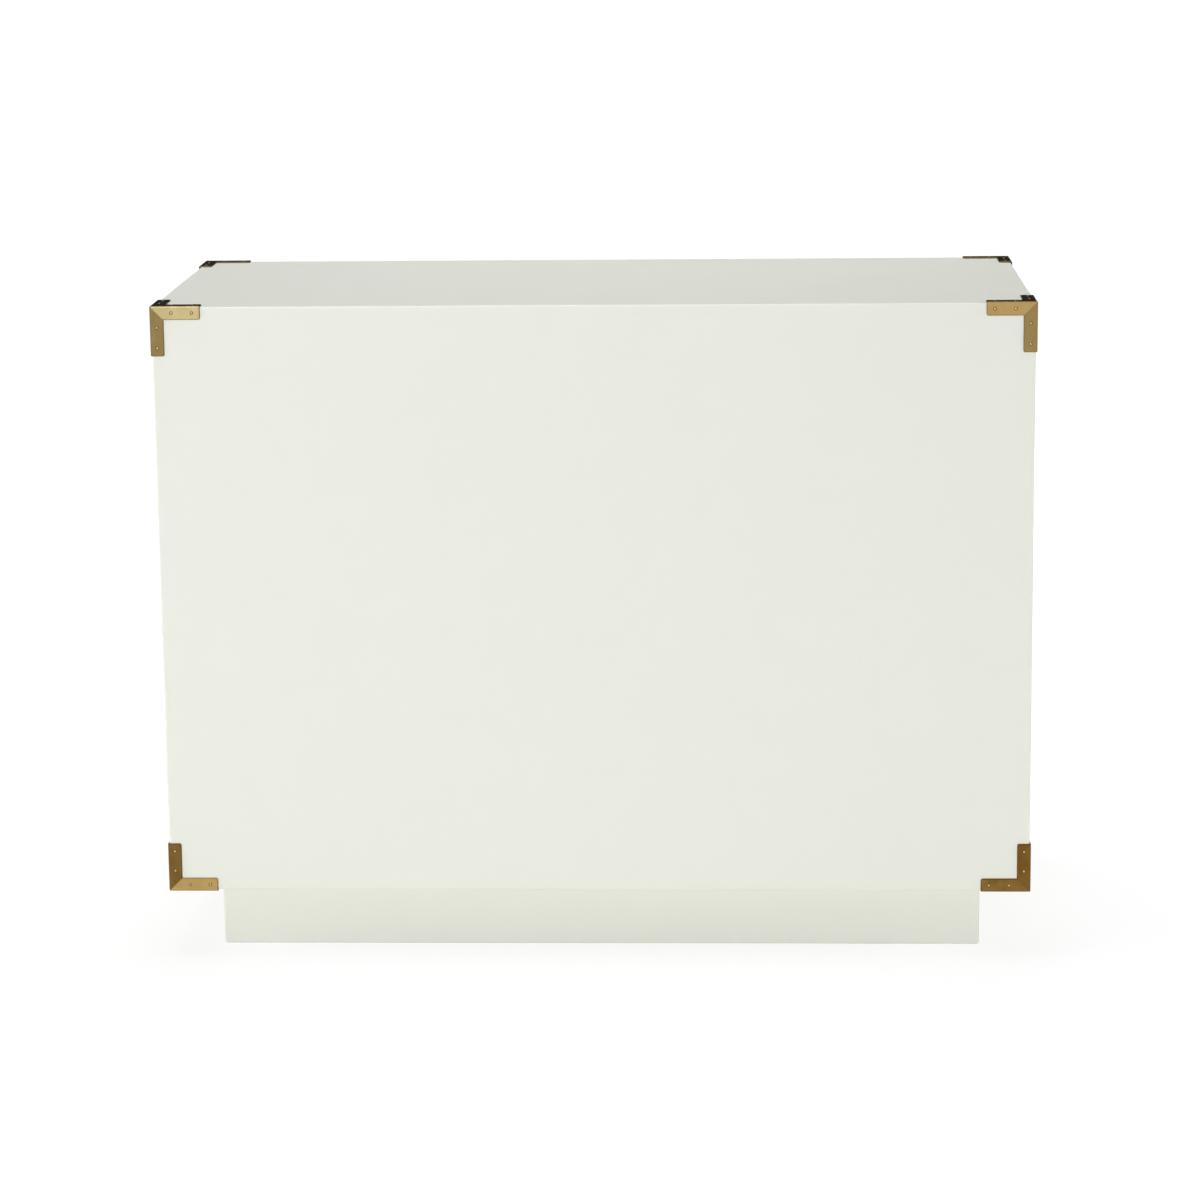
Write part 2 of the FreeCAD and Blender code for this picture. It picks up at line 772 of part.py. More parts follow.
def pull_plate(label, x, z):
    """Plate with a dish behind it, pierced for the bail's pivots and for four screws."""
    body = keep(label, new_body(label))
    proud = s.plate_proud
    plate = new_sketch(body, "XZ_Plane", proud)
    add_loop(plate, *rounded_rectangle(ZERO, ZERO, plate_width, plate_height, s.plate_corner))
    pad(body, plate, s.plate_thickness, reverse=True)
    soften(body, s.plate_round, lambda edge: lies_at(edge, "y", -proud))
    corner = s.dish_corner + s.dish_wall
    dish = new_sketch(body, "XZ_Plane", proud - s.plate_round)
    add_loop(dish, *rounded_rectangle(ZERO, ZERO, dish_outer_width, dish_outer_height, corner))
    pad(body, dish, s.dish_depth + s.dish_wall - s.plate_round, reverse=True)
    hollow = new_sketch(body, "XZ_Plane", proud)
    add_loop(hollow, *rounded_rectangle(ZERO, ZERO, s.dish_width, s.dish_height, s.dish_corner))
    pocket(body, hollow, s.dish_depth)
    floor_round = s.dish_corner * OVER_CORNER_SHARE
    soften(body, floor_round, lambda edge: lies_at(edge, "y", s.dish_depth - proud))
    screws = new_sketch(body, "XZ_Plane", proud)
    for screw_x, screw_z in screw_places(ZERO, ZERO):
        add_circle(screws, screw_x, screw_z, s.screw_radius + s.screw_fit)
    doc.recompute()
    hole = body.newObject("PartDesign::Hole", "screw_holes")
    hole.Profile = screws
    hole.DepthType = "ThroughAll"
    hole.HoleCutType = "Countersink"
    hole.HoleCutCustomValues = True
    bind(hole, "Diameter", 2 * (s.screw_radius + s.screw_fit))
    bind(hole, "HoleCutDiameter", 2 * (s.screw_head_radius + s.screw_fit))
    half = s.dish_width / 2 + s.dish_wall + s.overrun
    cylinder_across(body, "Subtractive", s.pivot_radius + s.pivot_fit, -half, 2 * half,
                    pivot_depth, pivot_height)
    place(body, x, front_face, z)


def bail(label, x, z):
    """Swinging bail: a flat U whose two pivots turn in the walls of the dish."""
    body = keep(label, new_body(label))
    top = pivot_height + s.bail_arm / 2
    inner = bail_half - s.bail_arm
    grip_top = grip_floor + s.bail_grip
    sketch = new_sketch(body, "XZ_Plane", -bail_face)
    add_loop(sketch, [
        (-bail_half, top),
        (-bail_half, grip_floor),
        (bail_half, grip_floor),
        (bail_half, top),
        (inner, top),
        (inner, grip_top),
        (-inner, grip_top),
        (-inner, top),
    ])
    pad(body, sketch, s.bail_thickness, reverse=True)
    soften(body, s.bail_corner, lambda edge: runs_along(edge, "y") and lies_at(edge, "z", grip_floor))
    soften(body, s.bail_bend, lambda edge: runs_along(edge, "y") and lies_at(edge, "z", grip_top))
    faces = (bail_face, bail_face + s.bail_thickness)
    soften(body, s.bail_round, lambda edge: any(lies_at(edge, "y", face) for face in faces))
    pivot = s.bail_play + s.dish_wall + s.bail_arm / 2
    cylinder_across(body, "Additive", s.pivot_radius, bail_half - s.bail_arm / 2, pivot,
                    pivot_depth, pivot_height)
    cylinder_across(body, "Additive", s.pivot_radius, -bail_half + s.bail_arm / 2 - pivot, pivot,
                    pivot_depth, pivot_height)
    place(body, x, front_face, z)


def pull_screws(label, z):
    """Countersunk screws of a drawer's two plates, flush with the face of the plates."""
    radius, head, length = s.screw_radius.value, s.screw_head_radius.value, s.screw_length.value
    screw = turned([
        (0, -length),
        (radius, s.screw_point.value - length),
        (radius, radius - head),
        (head, 0),
        (0, 0),
    ])
    outward = FreeCAD.Vector(0, -1, 0)
    face = front_face.value - s.plate_proud.value
    copies = []
    for hand in HANDS.values():
        for screw_x, screw_z in screw_places(hand * s.pull_spacing / 2, z):
            point = FreeCAD.Vector(screw_x.value, face, screw_z.value)
            copies.append(set_along(screw, point, outward))
    screws = doc.addObject("Part::Feature", label)
    screws.Shape = Part.makeCompound(copies)
    screws.Placement = FreeCAD.Placement()
    keep(label, screws)


def drawers():
    for index, drawer in enumerate(DRAWERS):
        floor = bay_floor(index)
        drawer_front(f"{drawer}_drawer_front", floor)
        drawer_sides(drawer, floor)
        drawer_back_and_bottom(drawer, floor)
        drawer_runners(drawer, floor)
        z = floor + pull_height
        for hand, sign in HANDS.items():
            x = sign * s.pull_spacing / 2
            pull_plate(f"{drawer}_drawer_{hand}_pull_plate", x, z)
            bail(f"{drawer}_drawer_{hand}_bail", x, z)
        pull_screws(f"{drawer}_drawer_pull_screws", z)


def check():
    """Stops before anything is written if an object failed or a piece isn't sound."""
    for obj in doc.Objects:
        if {"Invalid", "Error"} & set(obj.State):
            raise RuntimeError(f"{obj.Name} failed: {obj.State}")
    for label, obj in nodes.items():
        if obj.Shape.isNull() or not obj.Shape.isValid() or not obj.Shape.Solids:
            raise RuntimeError(f"{label} is not a sound solid")


def write():
    os.makedirs("parts", exist_ok=True)
    for label, obj in nodes.items():
        obj.Shape.exportStep(f"parts/{label}.step")
    print(f"{len(nodes)} pieces written")


case()
drawer_rails()
plinth()
corner_brackets()
drawers()
doc.recompute()
check()
write()
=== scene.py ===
# %% [markdown]
# # A campaign chest, dressed in Blender
# The chest's solids come ready made from the imported CAD model, in metres, and stay where they
# are. This lesson gives every surface its finish, and makes the small pieces that repeat, the
# pins and screws, as meshes of their own.

# %% Load the frame
import math

import bpy
from mathutils import Euler, Matrix, Vector


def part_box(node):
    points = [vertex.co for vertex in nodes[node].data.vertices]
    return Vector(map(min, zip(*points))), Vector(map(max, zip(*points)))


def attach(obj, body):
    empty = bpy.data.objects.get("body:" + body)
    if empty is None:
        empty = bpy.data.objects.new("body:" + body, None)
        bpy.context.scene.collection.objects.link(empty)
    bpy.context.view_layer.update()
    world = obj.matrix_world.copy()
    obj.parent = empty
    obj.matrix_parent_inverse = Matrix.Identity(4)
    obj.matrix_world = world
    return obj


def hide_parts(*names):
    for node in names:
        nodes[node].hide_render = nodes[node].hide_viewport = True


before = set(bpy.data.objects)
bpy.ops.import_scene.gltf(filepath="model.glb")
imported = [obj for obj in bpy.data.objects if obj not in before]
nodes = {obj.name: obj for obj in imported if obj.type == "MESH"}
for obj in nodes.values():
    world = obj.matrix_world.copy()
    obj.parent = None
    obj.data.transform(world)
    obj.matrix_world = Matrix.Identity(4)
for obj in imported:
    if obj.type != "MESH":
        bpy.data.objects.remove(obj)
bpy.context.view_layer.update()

# %% [markdown]
# ## Measures
# The chest's own places are read from the frame, so the finishes follow it if its solids change.
# The eight brackets are mirror images of one another about the middle of the case, so one of them
# tells where all of them are.

# %% Measure the case
MM = 0.001
BRACKET_WIDTH = 17 * MM

bracket_low, bracket_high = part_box("back_right_top_bracket")
case_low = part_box("bottom_panel")[0]
case_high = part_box("top_panel")[1]
case_middle = Vector((0, 0, (case_low.z + case_high.z) / 2))
corner_reach = bracket_high - case_middle
bracket_length = bracket_high.x - bracket_low.x
print("outer corner of the brackets from the middle of the case:", corner_reach)
print("legs of the brackets:", round(bracket_length / MM, 1), "mm")

# %% [markdown]
# ## Building materials with nodes
# A material is a small graph. These helpers add a node and feed its inputs, each with a plain
# value or with another node's output, so that a recipe reads from top to bottom. Shared effects
# are node groups with named sockets, and each material places them with its own values.

# %% Node helpers
def feed(tree, socket, value):
    """Sets a socket, or links it if the value is another node's output."""
    if isinstance(value, bpy.types.NodeSocket):
        tree.links.new(value, socket)
    else:
        socket.default_value = value


def add_node(tree, kind, inputs=(), **settings):
    """Adds a node with its settings, then feeds its inputs, given by name or by number."""
    node = tree.nodes.new(kind)
    for name, value in settings.items():
        setattr(node, name, value)
    for name, value in dict(inputs).items():
        feed(tree, node.inputs[name], value)
    return node


def calc(tree, operation, *values):
    """One step of arithmetic on numbers."""
    return add_node(tree, "ShaderNodeMath", enumerate(values), operation=operation).outputs[0]


def vector_calc(tree, operation, *values):
    """One step of arithmetic on vectors."""
    return add_node(tree, "ShaderNodeVectorMath", enumerate(values), operation=operation).outputs[0]


def scaled(tree, vector, factor):
    """A vector times a number."""
    inputs = {0: vector, "Scale": factor}
    return add_node(tree, "ShaderNodeVectorMath", inputs, operation="SCALE").outputs[0]


def combine(tree, x, y, z):
    """A vector from its three numbers."""
    return add_node(tree, "ShaderNodeCombineXYZ", enumerate((x, y, z))).outputs[0]


def split(tree, vector):
    """The three numbers of a vector, as X, Y and Z."""
    return add_node(tree, "ShaderNodeSeparateXYZ", {0: vector}).outputs


# %% Mask, colour and texture helpers
# A Mix node has sockets for every kind of value side by side, so these are found by number: the
# share, the first and the second value, then the result.
MIX_SOCKETS = {"FLOAT": (0, 2, 3), "RGBA": (0, 6, 7)}
MIX_RESULTS = {"FLOAT": 0, "RGBA": 2}
NOISE_RANGE = (0.3, 0.7)


def ramp(tree, value, low, high, start=0.0, end=1.0):
    """Smooth change from start to end as the value goes from low to high."""
    inputs = {"Value": value, "From Min": low, "From Max": high, "To Min": start, "To Max": end}
    node = add_node(tree, "ShaderNodeMapRange", inputs, interpolation_type="SMOOTHSTEP")
    return node.outputs["Result"]


def blend(tree, kind, share, first, second):
    """From the first value to the second as the share goes from zero to one."""
    inputs = zip(MIX_SOCKETS[kind], (share, first, second))
    return add_node(tree, "ShaderNodeMix", inputs, data_type=kind).outputs[MIX_RESULTS[kind]]


def blend_colours(tree, share, first, second):
    return blend(tree, "RGBA", share, first, second)


def noise(tree, vector, scale, detail=2.0, roughness=0.5, distortion=0.0):
    inputs = {"Vector": vector, "Scale": scale, "Detail": detail, "Roughness": roughness,
              "Distortion": distortion}
    return add_node(tree, "ShaderNodeTexNoise", inputs).outputs["Fac"]


def spread(tree, value, start=0.0, end=1.0):
    """Noise keeps mostly to the middle of its range, so that part is stretched to the whole."""
    return ramp(tree, value, *NOISE_RANGE, start, end)


def per_metre(tree, size):
    """How often a size fits in a metre, which is the scale of a texture of that size."""
    return calc(tree, "DIVIDE", 1.0, size)


def bump(tree, height, distance):
    """A normal for a surface that rises by the distance where the height is one."""
    return add_node(tree, "ShaderNodeBump", {"Height": height, "Distance": distance}).outputs["Normal"]


# %% Material and group helpers
def new_material(name, **constants):
    """A material with one Principled shader, whose constant sockets are set directly."""
    material = bpy.data.materials.new(name)
    material.use_nodes = True
    tree = material.node_tree
    shader = tree.nodes["Principled BSDF"]
    for socket, value in constants.items():
        shader.inputs[socket.replace("_", " ")].default_value = value
    coords = tree.nodes.new("ShaderNodeTexCoord").outputs["Object"]
    return material, tree, shader, coords


def new_group(name, inputs, outputs):
    """An empty shader group with named sockets: inputs as (name, default), outputs as names."""
    group = bpy.data.node_groups.new(name, "ShaderNodeTree")
    for label, default in inputs:
        kind = "NodeSocketFloat" if isinstance(default, float) else "NodeSocketVector"
        socket = group.interface.new_socket(label, in_out="INPUT", socket_type=kind)
        socket.default_value = default
    for label in outputs:
        group.interface.new_socket(label, in_out="OUTPUT", socket_type="NodeSocketFloat")
    source = group.nodes.new("NodeGroupInput").outputs
    result = group.nodes.new("NodeGroupOutput").inputs
    return group, source, result


def use_group(tree, group, **inputs):
    """Places a group and feeds its sockets, whose names have underscores for spaces here."""
    node = tree.nodes.new("ShaderNodeGroup")
    node.node_tree = group
    for label, value in inputs.items():
        feed(tree, node.inputs[label.replace("_", " ")], value)
    return node.outputs


# %% [markdown]
# ## White lacquer
# The case is sprayed with an off-white satin lacquer. Close up, a sprayed skin has orange peel,
# dimples a few millimetres wide and a few hundredths of one deep, over slower waves left by
# sanding. They hardly change the colour, but they break up reflections, so they go into the
# normal and the roughness. The colour only wanders by about one part in a hundred. A picture of
# a painted board would need a UV map and would repeat. Noise on the object's own coordinates has
# no seams, and it runs on from board to board.

# %% Lacquer
ORIGIN = (0.0, 0.0, 0.0)
DIMPLE_SIZE = 3 * MM
WAVE_SIZE = 60 * MM
WAVE_SHARE = 0.5
ORANGE_PEEL_DEPTH = 0.02 * MM
LACQUER_COOL = (0.755, 0.772, 0.700, 1)
LACQUER_WARM = (0.768, 0.780, 0.708, 1)
LACQUER_ROUGHNESS = (0.36, 0.38)


def make_sprayed_skin():
    group, source, result = new_group(
        "sprayed skin",
        [("Vector", ORIGIN), ("Dimple size", DIMPLE_SIZE), ("Wave size", WAVE_SIZE)],
        ["Height", "Mottle"],
    )
    vector = source["Vector"]
    dimples = noise(group, vector, per_metre(group, source["Dimple size"]), detail=1.0)
    waves = noise(group, vector, per_metre(group, source["Wave size"]))
    feed(group, result["Height"], calc(group, "MULTIPLY_ADD", waves, WAVE_SHARE, dimples))
    feed(group, result["Mottle"], waves)
    return group


SPRAYED_SKIN = make_sprayed_skin()


def make_lacquer():
    material, tree, shader, coords = new_material("satin lacquer", IOR=1.5)
    skin = use_group(tree, SPRAYED_SKIN, Vector=coords)
    white = blend_colours(tree, skin["Mottle"], LACQUER_COOL, LACQUER_WARM)
    feed(tree, shader.inputs["Base Color"], white)
    feed(tree, shader.inputs["Roughness"], spread(tree, skin["Mottle"], *LACQUER_ROUGHNESS))
    feed(tree, shader.inputs["Normal"], bump(tree, skin["Height"], ORANGE_PEEL_DEPTH))
    return material


lacquer = make_lacquer()
print("lacquer:", len(lacquer.node_tree.nodes), "nodes")

# %% [markdown]
# ## Brushed brass
# The fittings are antique brass, brushed along their length and lightly tarnished. Brushing leaves
# fine parallel scratches, so the metal is smooth along them and rough across them. The scratch
# pattern is noise that is squeezed across the brushing and drawn out along it, and the shader's
# anisotropy spreads the reflections across the scratches. A picture of brushed metal runs one way
# only, and the fittings are brushed in three, so one group makes the scratches for any direction.
# A second one makes the tarnish, so that every fitting ages in the same way.

# %% Brushing and tarnish
ALONG_X = (1.0, 0.0, 0.0)
ALL_WAYS = (1.0, 1.0, 1.0)
BRUSH_LINE_WIDTH = 0.4 * MM
BRUSH_LINE_LENGTH = 30 * MM
TARNISH_PATCH = 20 * MM
TARNISH_RANGE = (0.35, 0.75)


def make_brushing():
    group, source, result = new_group(
        "brushing",
        [("Vector", ORIGIN), ("Along", ALONG_X), ("Line width", BRUSH_LINE_WIDTH),
         ("Line length", BRUSH_LINE_LENGTH)],
        ["Streak", "Height"],
    )
    across = vector_calc(group, "SUBTRACT", ALL_WAYS, source["Along"])
    squeezed = scaled(group, across, per_metre(group, source["Line width"]))
    drawn_out = scaled(group, source["Along"], per_metre(group, source["Line length"]))
    stretch = vector_calc(group, "ADD", squeezed, drawn_out)
    stretched = vector_calc(group, "MULTIPLY", source["Vector"], stretch)
    scratches = noise(group, stretched, 1.0, detail=4.0, roughness=0.65)
    feed(group, result["Height"], scratches)
    feed(group, result["Streak"], spread(group, scratches))
    return group


def make_tarnish():
    group, source, result = new_group(
        "tarnish", [("Vector", ORIGIN), ("Patch size", TARNISH_PATCH)], ["Tarnish"]
    )
    scale = per_metre(group, source["Patch size"])
    patches = noise(group, source["Vector"], scale, detail=4.0, roughness=0.6, distortion=0.4)
    feed(group, result["Tarnish"], ramp(group, patches, *TARNISH_RANGE))
    return group


BRUSHING = make_brushing()
TARNISH = make_tarnish()
print("groups for brass:", BRUSHING.name, "and", TARNISH.name)

# %% Brass that every fitting shares
# Paler brass, painted at the top of one side of the chest as a highlight.
BRASS_PAINTED_HIGHLIGHT = (0.50, 0.415, 0.21, 1)
BRASS_GOLDEN = (0.51, 0.347, 0.124, 1)
BRASS_DEEP = (0.272, 0.190, 0.066, 1)
# Tarnish colour, which on the brackets also carries painted darker reflections.
BRASS_TARNISH_AND_SHADE = (0.185, 0.082, 0.001, 1)
# Dark colour for grime on cut edges, and for grime with painted shade round screw and pin heads.
GRIME_AND_SHADE = (0.085, 0.045, 0.014, 1)
LACQUERED_METAL = {"Metallic": 1.0, "Coat_Weight": 0.2, "Coat_Roughness": 0.25}
CLOUD_SHARE = 0.2
STREAK_SHARE = 0.2
DULL_SHARES = (0.8, 1.0)
BRASS_ROUGHNESS = (0.42, 0.36)
TARNISH_ROUGHNESS = 0.12
SCRATCH_DEPTH = 0.012 * MM


def brass_surface(tree, shader, coords, along, bright, depth_share, tarnish_and_shade_share, grime_and_shade_share=0.0):
    """Colour, roughness and scratches that every brass piece shares. The shares are masks:
    depth_share goes from the bright colour to deep brass, then come tarnish and grime. On the
    brackets the deep tone and the tarnish colour also carry painted darker reflections, and round
    screw heads the grime colour also carries painted shade."""
    brushed = use_group(tree, BRUSHING, Vector=coords, Along=along)
    tarnish = use_group(tree, TARNISH, Vector=coords)["Tarnish"]
    clouded = calc(tree, "MULTIPLY_ADD", tarnish, CLOUD_SHARE, depth_share)
    streaked = calc(tree, "MULTIPLY_ADD", brushed["Streak"], STREAK_SHARE, clouded)
    brass = blend_colours(tree, streaked, bright, BRASS_DEEP)
    # Tarnish, and on the brackets painted darker reflection, towards the tarnish colour.
    darkening = calc(tree, "MULTIPLY", tarnish_and_shade_share, ramp(tree, tarnish, 0.0, 1.0, *DULL_SHARES))
    aged_and_shaded = blend_colours(tree, darkening, brass, BRASS_TARNISH_AND_SHADE)
    feed(tree, shader.inputs["Base Color"], blend_colours(tree, grime_and_shade_share, aged_and_shaded, GRIME_AND_SHADE))
    rough = ramp(tree, brushed["Streak"], 0.0, 1.0, *BRASS_ROUGHNESS)
    rougher = calc(tree, "MULTIPLY_ADD", darkening, TARNISH_ROUGHNESS, rough)
    feed(tree, shader.inputs["Roughness"], rougher)
    feed(tree, shader.inputs["Normal"], bump(tree, brushed["Height"], SCRATCH_DEPTH))


# %% [markdown]
# ## Corner brackets
# Each face of a bracket is an L whose two legs are brushed along their own length, so they meet
# in a mitre that shows as a change of tone. Only the faces on the top and the underside are
# brushed in one pass, front to back. A material for each leg can't do this, because the faces of
# the solid don't end at the mitre. Instead one material works out which leg a point is on, from
# its distances to the bracket's three outer faces: a leg runs along the axis with the greatest
# distance. The same vector turns the anisotropic reflections. Upright legs are painted deeper and
# darker than level ones: a painted darker reflection, for the share of the darker light from the
# walls that upright brushing gathers beyond what the anisotropy gives. The brass is painted paler
# at the top of one side and darker towards the floor and the other side, as in the photograph: a
# painted highlight and a painted darker reflection, laid on as tarnish. Tarnish stays in the
# mitre, where polish never reaches, and along the inner edges and at the ends of the legs, where
# the dark line is tarnish and painted shade. Grime darkens the cut edges.

# %% Legs of a bracket
def bracket_distances(tree, coords):
    """How far a point lies from its bracket's outer faces, along X, Y and Z."""
    from_middle = vector_calc(tree, "SUBTRACT", coords, tuple(case_middle))
    mirrored = vector_calc(tree, "ABSOLUTE", from_middle)
    return split(tree, vector_calc(tree, "SUBTRACT", tuple(corner_reach), mirrored))


def sorted_distances(tree, x, y, z):
    """The same distances, from the shortest to the longest."""
    longest = calc(tree, "MAXIMUM", x, calc(tree, "MAXIMUM", y, z))
    shortest = calc(tree, "MINIMUM", x, calc(tree, "MINIMUM", y, z))
    total = calc(tree, "ADD", x, calc(tree, "ADD", y, z))
    middle = calc(tree, "SUBTRACT", calc(tree, "SUBTRACT", total, longest), shortest)
    return shortest, middle, longest


def brushed_axes(tree, x, y, z):
    """One for the axis along which a point's leg is brushed, zero for the other two."""
    level = calc(tree, "LESS_THAN", z, calc(tree, "MINIMUM", x, y))
    along_x = calc(tree, "GREATER_THAN", x, calc(tree, "MAXIMUM", y, z))
    along_y = calc(tree, "GREATER_THAN", y, calc(tree, "MAXIMUM", x, z))
    runs_x = calc(tree, "MULTIPLY", along_x, calc(tree, "SUBTRACT", 1.0, level))
    runs_y = calc(tree, "MAXIMUM", along_y, level)
    runs_z = calc(tree, "SUBTRACT", 1.0, calc(tree, "ADD", runs_x, runs_y))
    return runs_x, runs_y, runs_z


# %% Bracket brass
MITRE_LINE_WIDTH = 0.4 * MM
MITRE_LINE_SHARE = 0.3
EDGE_LINE_REACH = (0.3 * MM, 1.8 * MM)
EDGE_LINE_SHARE = 0.5
# Shares of painted darkening, laid on as tarnish: at the top and the bottom of the case, for a painted
# darker reflection towards the floor, then at its two sides, where the lighter side is a painted
# highlight.
HEIGHT_PAINTED_REFLECTION_SHARES = (0.05, 0.9)
SIDE_PAINTED_HIGHLIGHT_SHARES = (0.1, 1.0)
# Upright legs are painted darker, as tarnish and as deep brass: a painted darker reflection.
UPRIGHT_PAINTED_REFLECTION_SHARE = 0.78
UPRIGHT_PAINTED_DEPTH_SHARE = 0.75
CUT_EDGE_REACH = (0.2 * MM, 0.9 * MM)
CUT_EDGE_GRIME_SHARE = 0.9


def dark_lines(tree, middle, longest):
    """Tarnish that stays in the mitre, and tarnish with painted shade along the inner edges and at the
    ends of the legs.
    """
    off_mitre = calc(tree, "SUBTRACT", longest, middle)
    mitre_line = ramp(tree, off_mitre, 0.0, MITRE_LINE_WIDTH, MITRE_LINE_SHARE, 0.0)
    to_inner_edge = calc(tree, "SUBTRACT", BRACKET_WIDTH, middle)
    to_end = calc(tree, "SUBTRACT", bracket_length, longest)
    to_edge = calc(tree, "MINIMUM", to_inner_edge, to_end)
    # Tarnish and painted shade along the inner edges and at the ends of the legs.
    edge_line = ramp(tree, to_edge, *EDGE_LINE_REACH, EDGE_LINE_SHARE, 0.0)
    return calc(tree, "MAXIMUM", mitre_line, edge_line)


def make_bracket_brass():
    material, tree, shader, coords = new_material(
        "bracket brass", Anisotropic=0.85, Anisotropic_Rotation=0.25, **LACQUERED_METAL
    )
    distances = bracket_distances(tree, coords)
    shortest, middle, longest = sorted_distances(tree, *distances)
    runs_x, runs_y, runs_z = brushed_axes(tree, *distances)
    along = combine(tree, runs_x, runs_y, runs_z)
    feed(tree, shader.inputs["Tangent"], along)
    place = split(tree, coords)
    low = ramp(tree, place["Z"], case_high.z, case_low.z)
    aside = ramp(tree, place["X"], corner_reach.x, -corner_reach.x)
    # Painted darker reflection towards the floor, laid on as tarnish.
    painted_reflection_by_height = ramp(tree, low, 0.0, 1.0, *HEIGHT_PAINTED_REFLECTION_SHARES)
    # Painted highlight: the side towards the lamps is left paler, the other side darker.
    painted_highlight_by_side = ramp(tree, aside, 0.0, 1.0, *SIDE_PAINTED_HIGHLIGHT_SHARES)
    # Painted light: the darker side and the upright legs, laid on as tarnish.
    wear_and_painted_light = calc(tree, "MAXIMUM", painted_highlight_by_side, calc(tree, "MULTIPLY", runs_z, UPRIGHT_PAINTED_REFLECTION_SHARE))
    lines = dark_lines(tree, middle, longest)
    tarnish_and_shade_share = calc(tree, "MULTIPLY_ADD", painted_reflection_by_height, wear_and_painted_light, lines)
    # Painted darker reflection: upright legs turn towards deep brass.
    depth_share = calc(tree, "MULTIPLY", runs_z, UPRIGHT_PAINTED_DEPTH_SHARE)
    grime_and_shade_share = ramp(tree, shortest, *CUT_EDGE_REACH, 0.0, CUT_EDGE_GRIME_SHARE)
    # Painted highlight: paler brass where the bracket is both high and on that side.
    bright = blend_colours(tree, calc(tree, "MAXIMUM", low, aside), BRASS_PAINTED_HIGHLIGHT, BRASS_GOLDEN)
    brass_surface(tree, shader, coords, along, bright, depth_share, tarnish_and_shade_share, grime_and_shade_share)
    return material


bracket_brass = make_bracket_brass()
print("bracket brass:", len(bracket_brass.node_tree.nodes), "nodes")

# %% [markdown]
# ## Flush pulls
# A pull is a plate with a dish pressed into it, and a bail that lies in the dish. The plate is
# brushed across, and tarnish gathers in the dish where no cloth reaches. Painting it by hand on
# six pulls would take long, so the tarnish grows with the depth behind the plate's face. Fingers
# keep the front of the bail bright, so its tarnish starts further back.

# %% Pull brass
DISH_TARNISH_DEPTHS = (0.5 * MM, 9 * MM)
DISH_TARNISH_SHARES = (0.2, 0.9)
BAIL_TARNISH_DEPTHS = (1.5 * MM, 4 * MM)
BAIL_TARNISH_SHARES = (0.0, 0.7)

plate_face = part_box("middle_drawer_left_pull_plate")[0].y


def pull_surface(tree, shader, coords, depths, shares):
    """Brass brushed across, whose tarnish grows with the depth behind the plate's face."""
    shallow, deep = depths
    depth = split(tree, coords)["Y"]
    tarnish_and_shade_share = ramp(tree, depth, plate_face + shallow, plate_face + deep, *shares)
    brass_surface(tree, shader, coords, ALONG_X, BRASS_GOLDEN, 0.0, tarnish_and_shade_share)


def make_plate_brass():
    material, tree, shader, coords = new_material(
        "plate brass", Anisotropic=0.5, Anisotropic_Rotation=0.25, **LACQUERED_METAL
    )
    feed(tree, shader.inputs["Tangent"], combine(tree, *ALONG_X))
    pull_surface(tree, shader, coords, DISH_TARNISH_DEPTHS, DISH_TARNISH_SHARES)
    return material


def make_bail_brass():
    material, tree, shader, coords = new_material("bail brass", **LACQUERED_METAL)
    pull_surface(tree, shader, coords, BAIL_TARNISH_DEPTHS, BAIL_TARNISH_SHARES)
    return material


plate_brass = make_plate_brass()
bail_brass = make_bail_brass()
print("faces of the plates:", round(-plate_face / MM, 1), "mm in front of the middle of the chest")

# %% [markdown]
# ## Birch drawer boxes
# The drawer boxes are sealed birch. Its grain runs along each board, so one group makes grain
# along X, and a Mapping node turns it for boards that run the other way. Growth bands are broad
# noise, pores are short dark dashes, and both also give the surface its faint relief. A Wave
# texture could draw the bands too, but its lines are more even than those of birch.

# %% Birch
QUARTER_TURN = math.pi / 2
BANDS_PER_METRE = (2.2, 24.0, 24.0)
PORES_PER_METRE = (70.0, 1400.0, 1400.0)
PORE_RANGE = (0.60, 0.74)
PORE_SHARE = 0.45
BIRCH_BROWN = (0.60, 0.42, 0.24, 1)
BIRCH_PALE = (0.74, 0.56, 0.36, 1)
PORE_BROWN = (0.36, 0.22, 0.11, 1)
BIRCH_ROUGHNESS = (0.42, 0.52)
GRAIN_DEPTH = 0.04 * MM


def make_grain():
    group, source, result = new_group("birch grain", [("Vector", ORIGIN)], ["Band", "Pore", "Height"])
    broad = vector_calc(group, "MULTIPLY", source["Vector"], BANDS_PER_METRE)
    bands = noise(group, broad, 1.0, detail=4.0, roughness=0.55, distortion=0.8)
    narrow = vector_calc(group, "MULTIPLY", source["Vector"], PORES_PER_METRE)
    pores = ramp(group, noise(group, narrow, 1.0, detail=1.0), *PORE_RANGE)
    feed(group, result["Band"], spread(group, bands))
    feed(group, result["Pore"], pores)
    feed(group, result["Height"], calc(group, "SUBTRACT", bands, pores))
    return group


BIRCH_GRAIN = make_grain()


def make_birch(name, turn):
    """Birch whose grain, along X in the group, is turned to the board's own length."""
    material, tree, shader, coords = new_material(name, IOR=1.5)
    turned = add_node(tree, "ShaderNodeMapping", {"Vector": coords, "Rotation": turn}).outputs[0]
    grain = use_group(tree, BIRCH_GRAIN, Vector=turned)
    wood = blend_colours(tree, grain["Band"], BIRCH_BROWN, BIRCH_PALE)
    pored = blend_colours(tree, calc(tree, "MULTIPLY", grain["Pore"], PORE_SHARE), wood, PORE_BROWN)
    feed(tree, shader.inputs["Base Color"], pored)
    feed(tree, shader.inputs["Roughness"], ramp(tree, grain["Band"], 0.0, 1.0, *BIRCH_ROUGHNESS))
    feed(tree, shader.inputs["Normal"], bump(tree, grain["Height"], GRAIN_DEPTH))
    return material


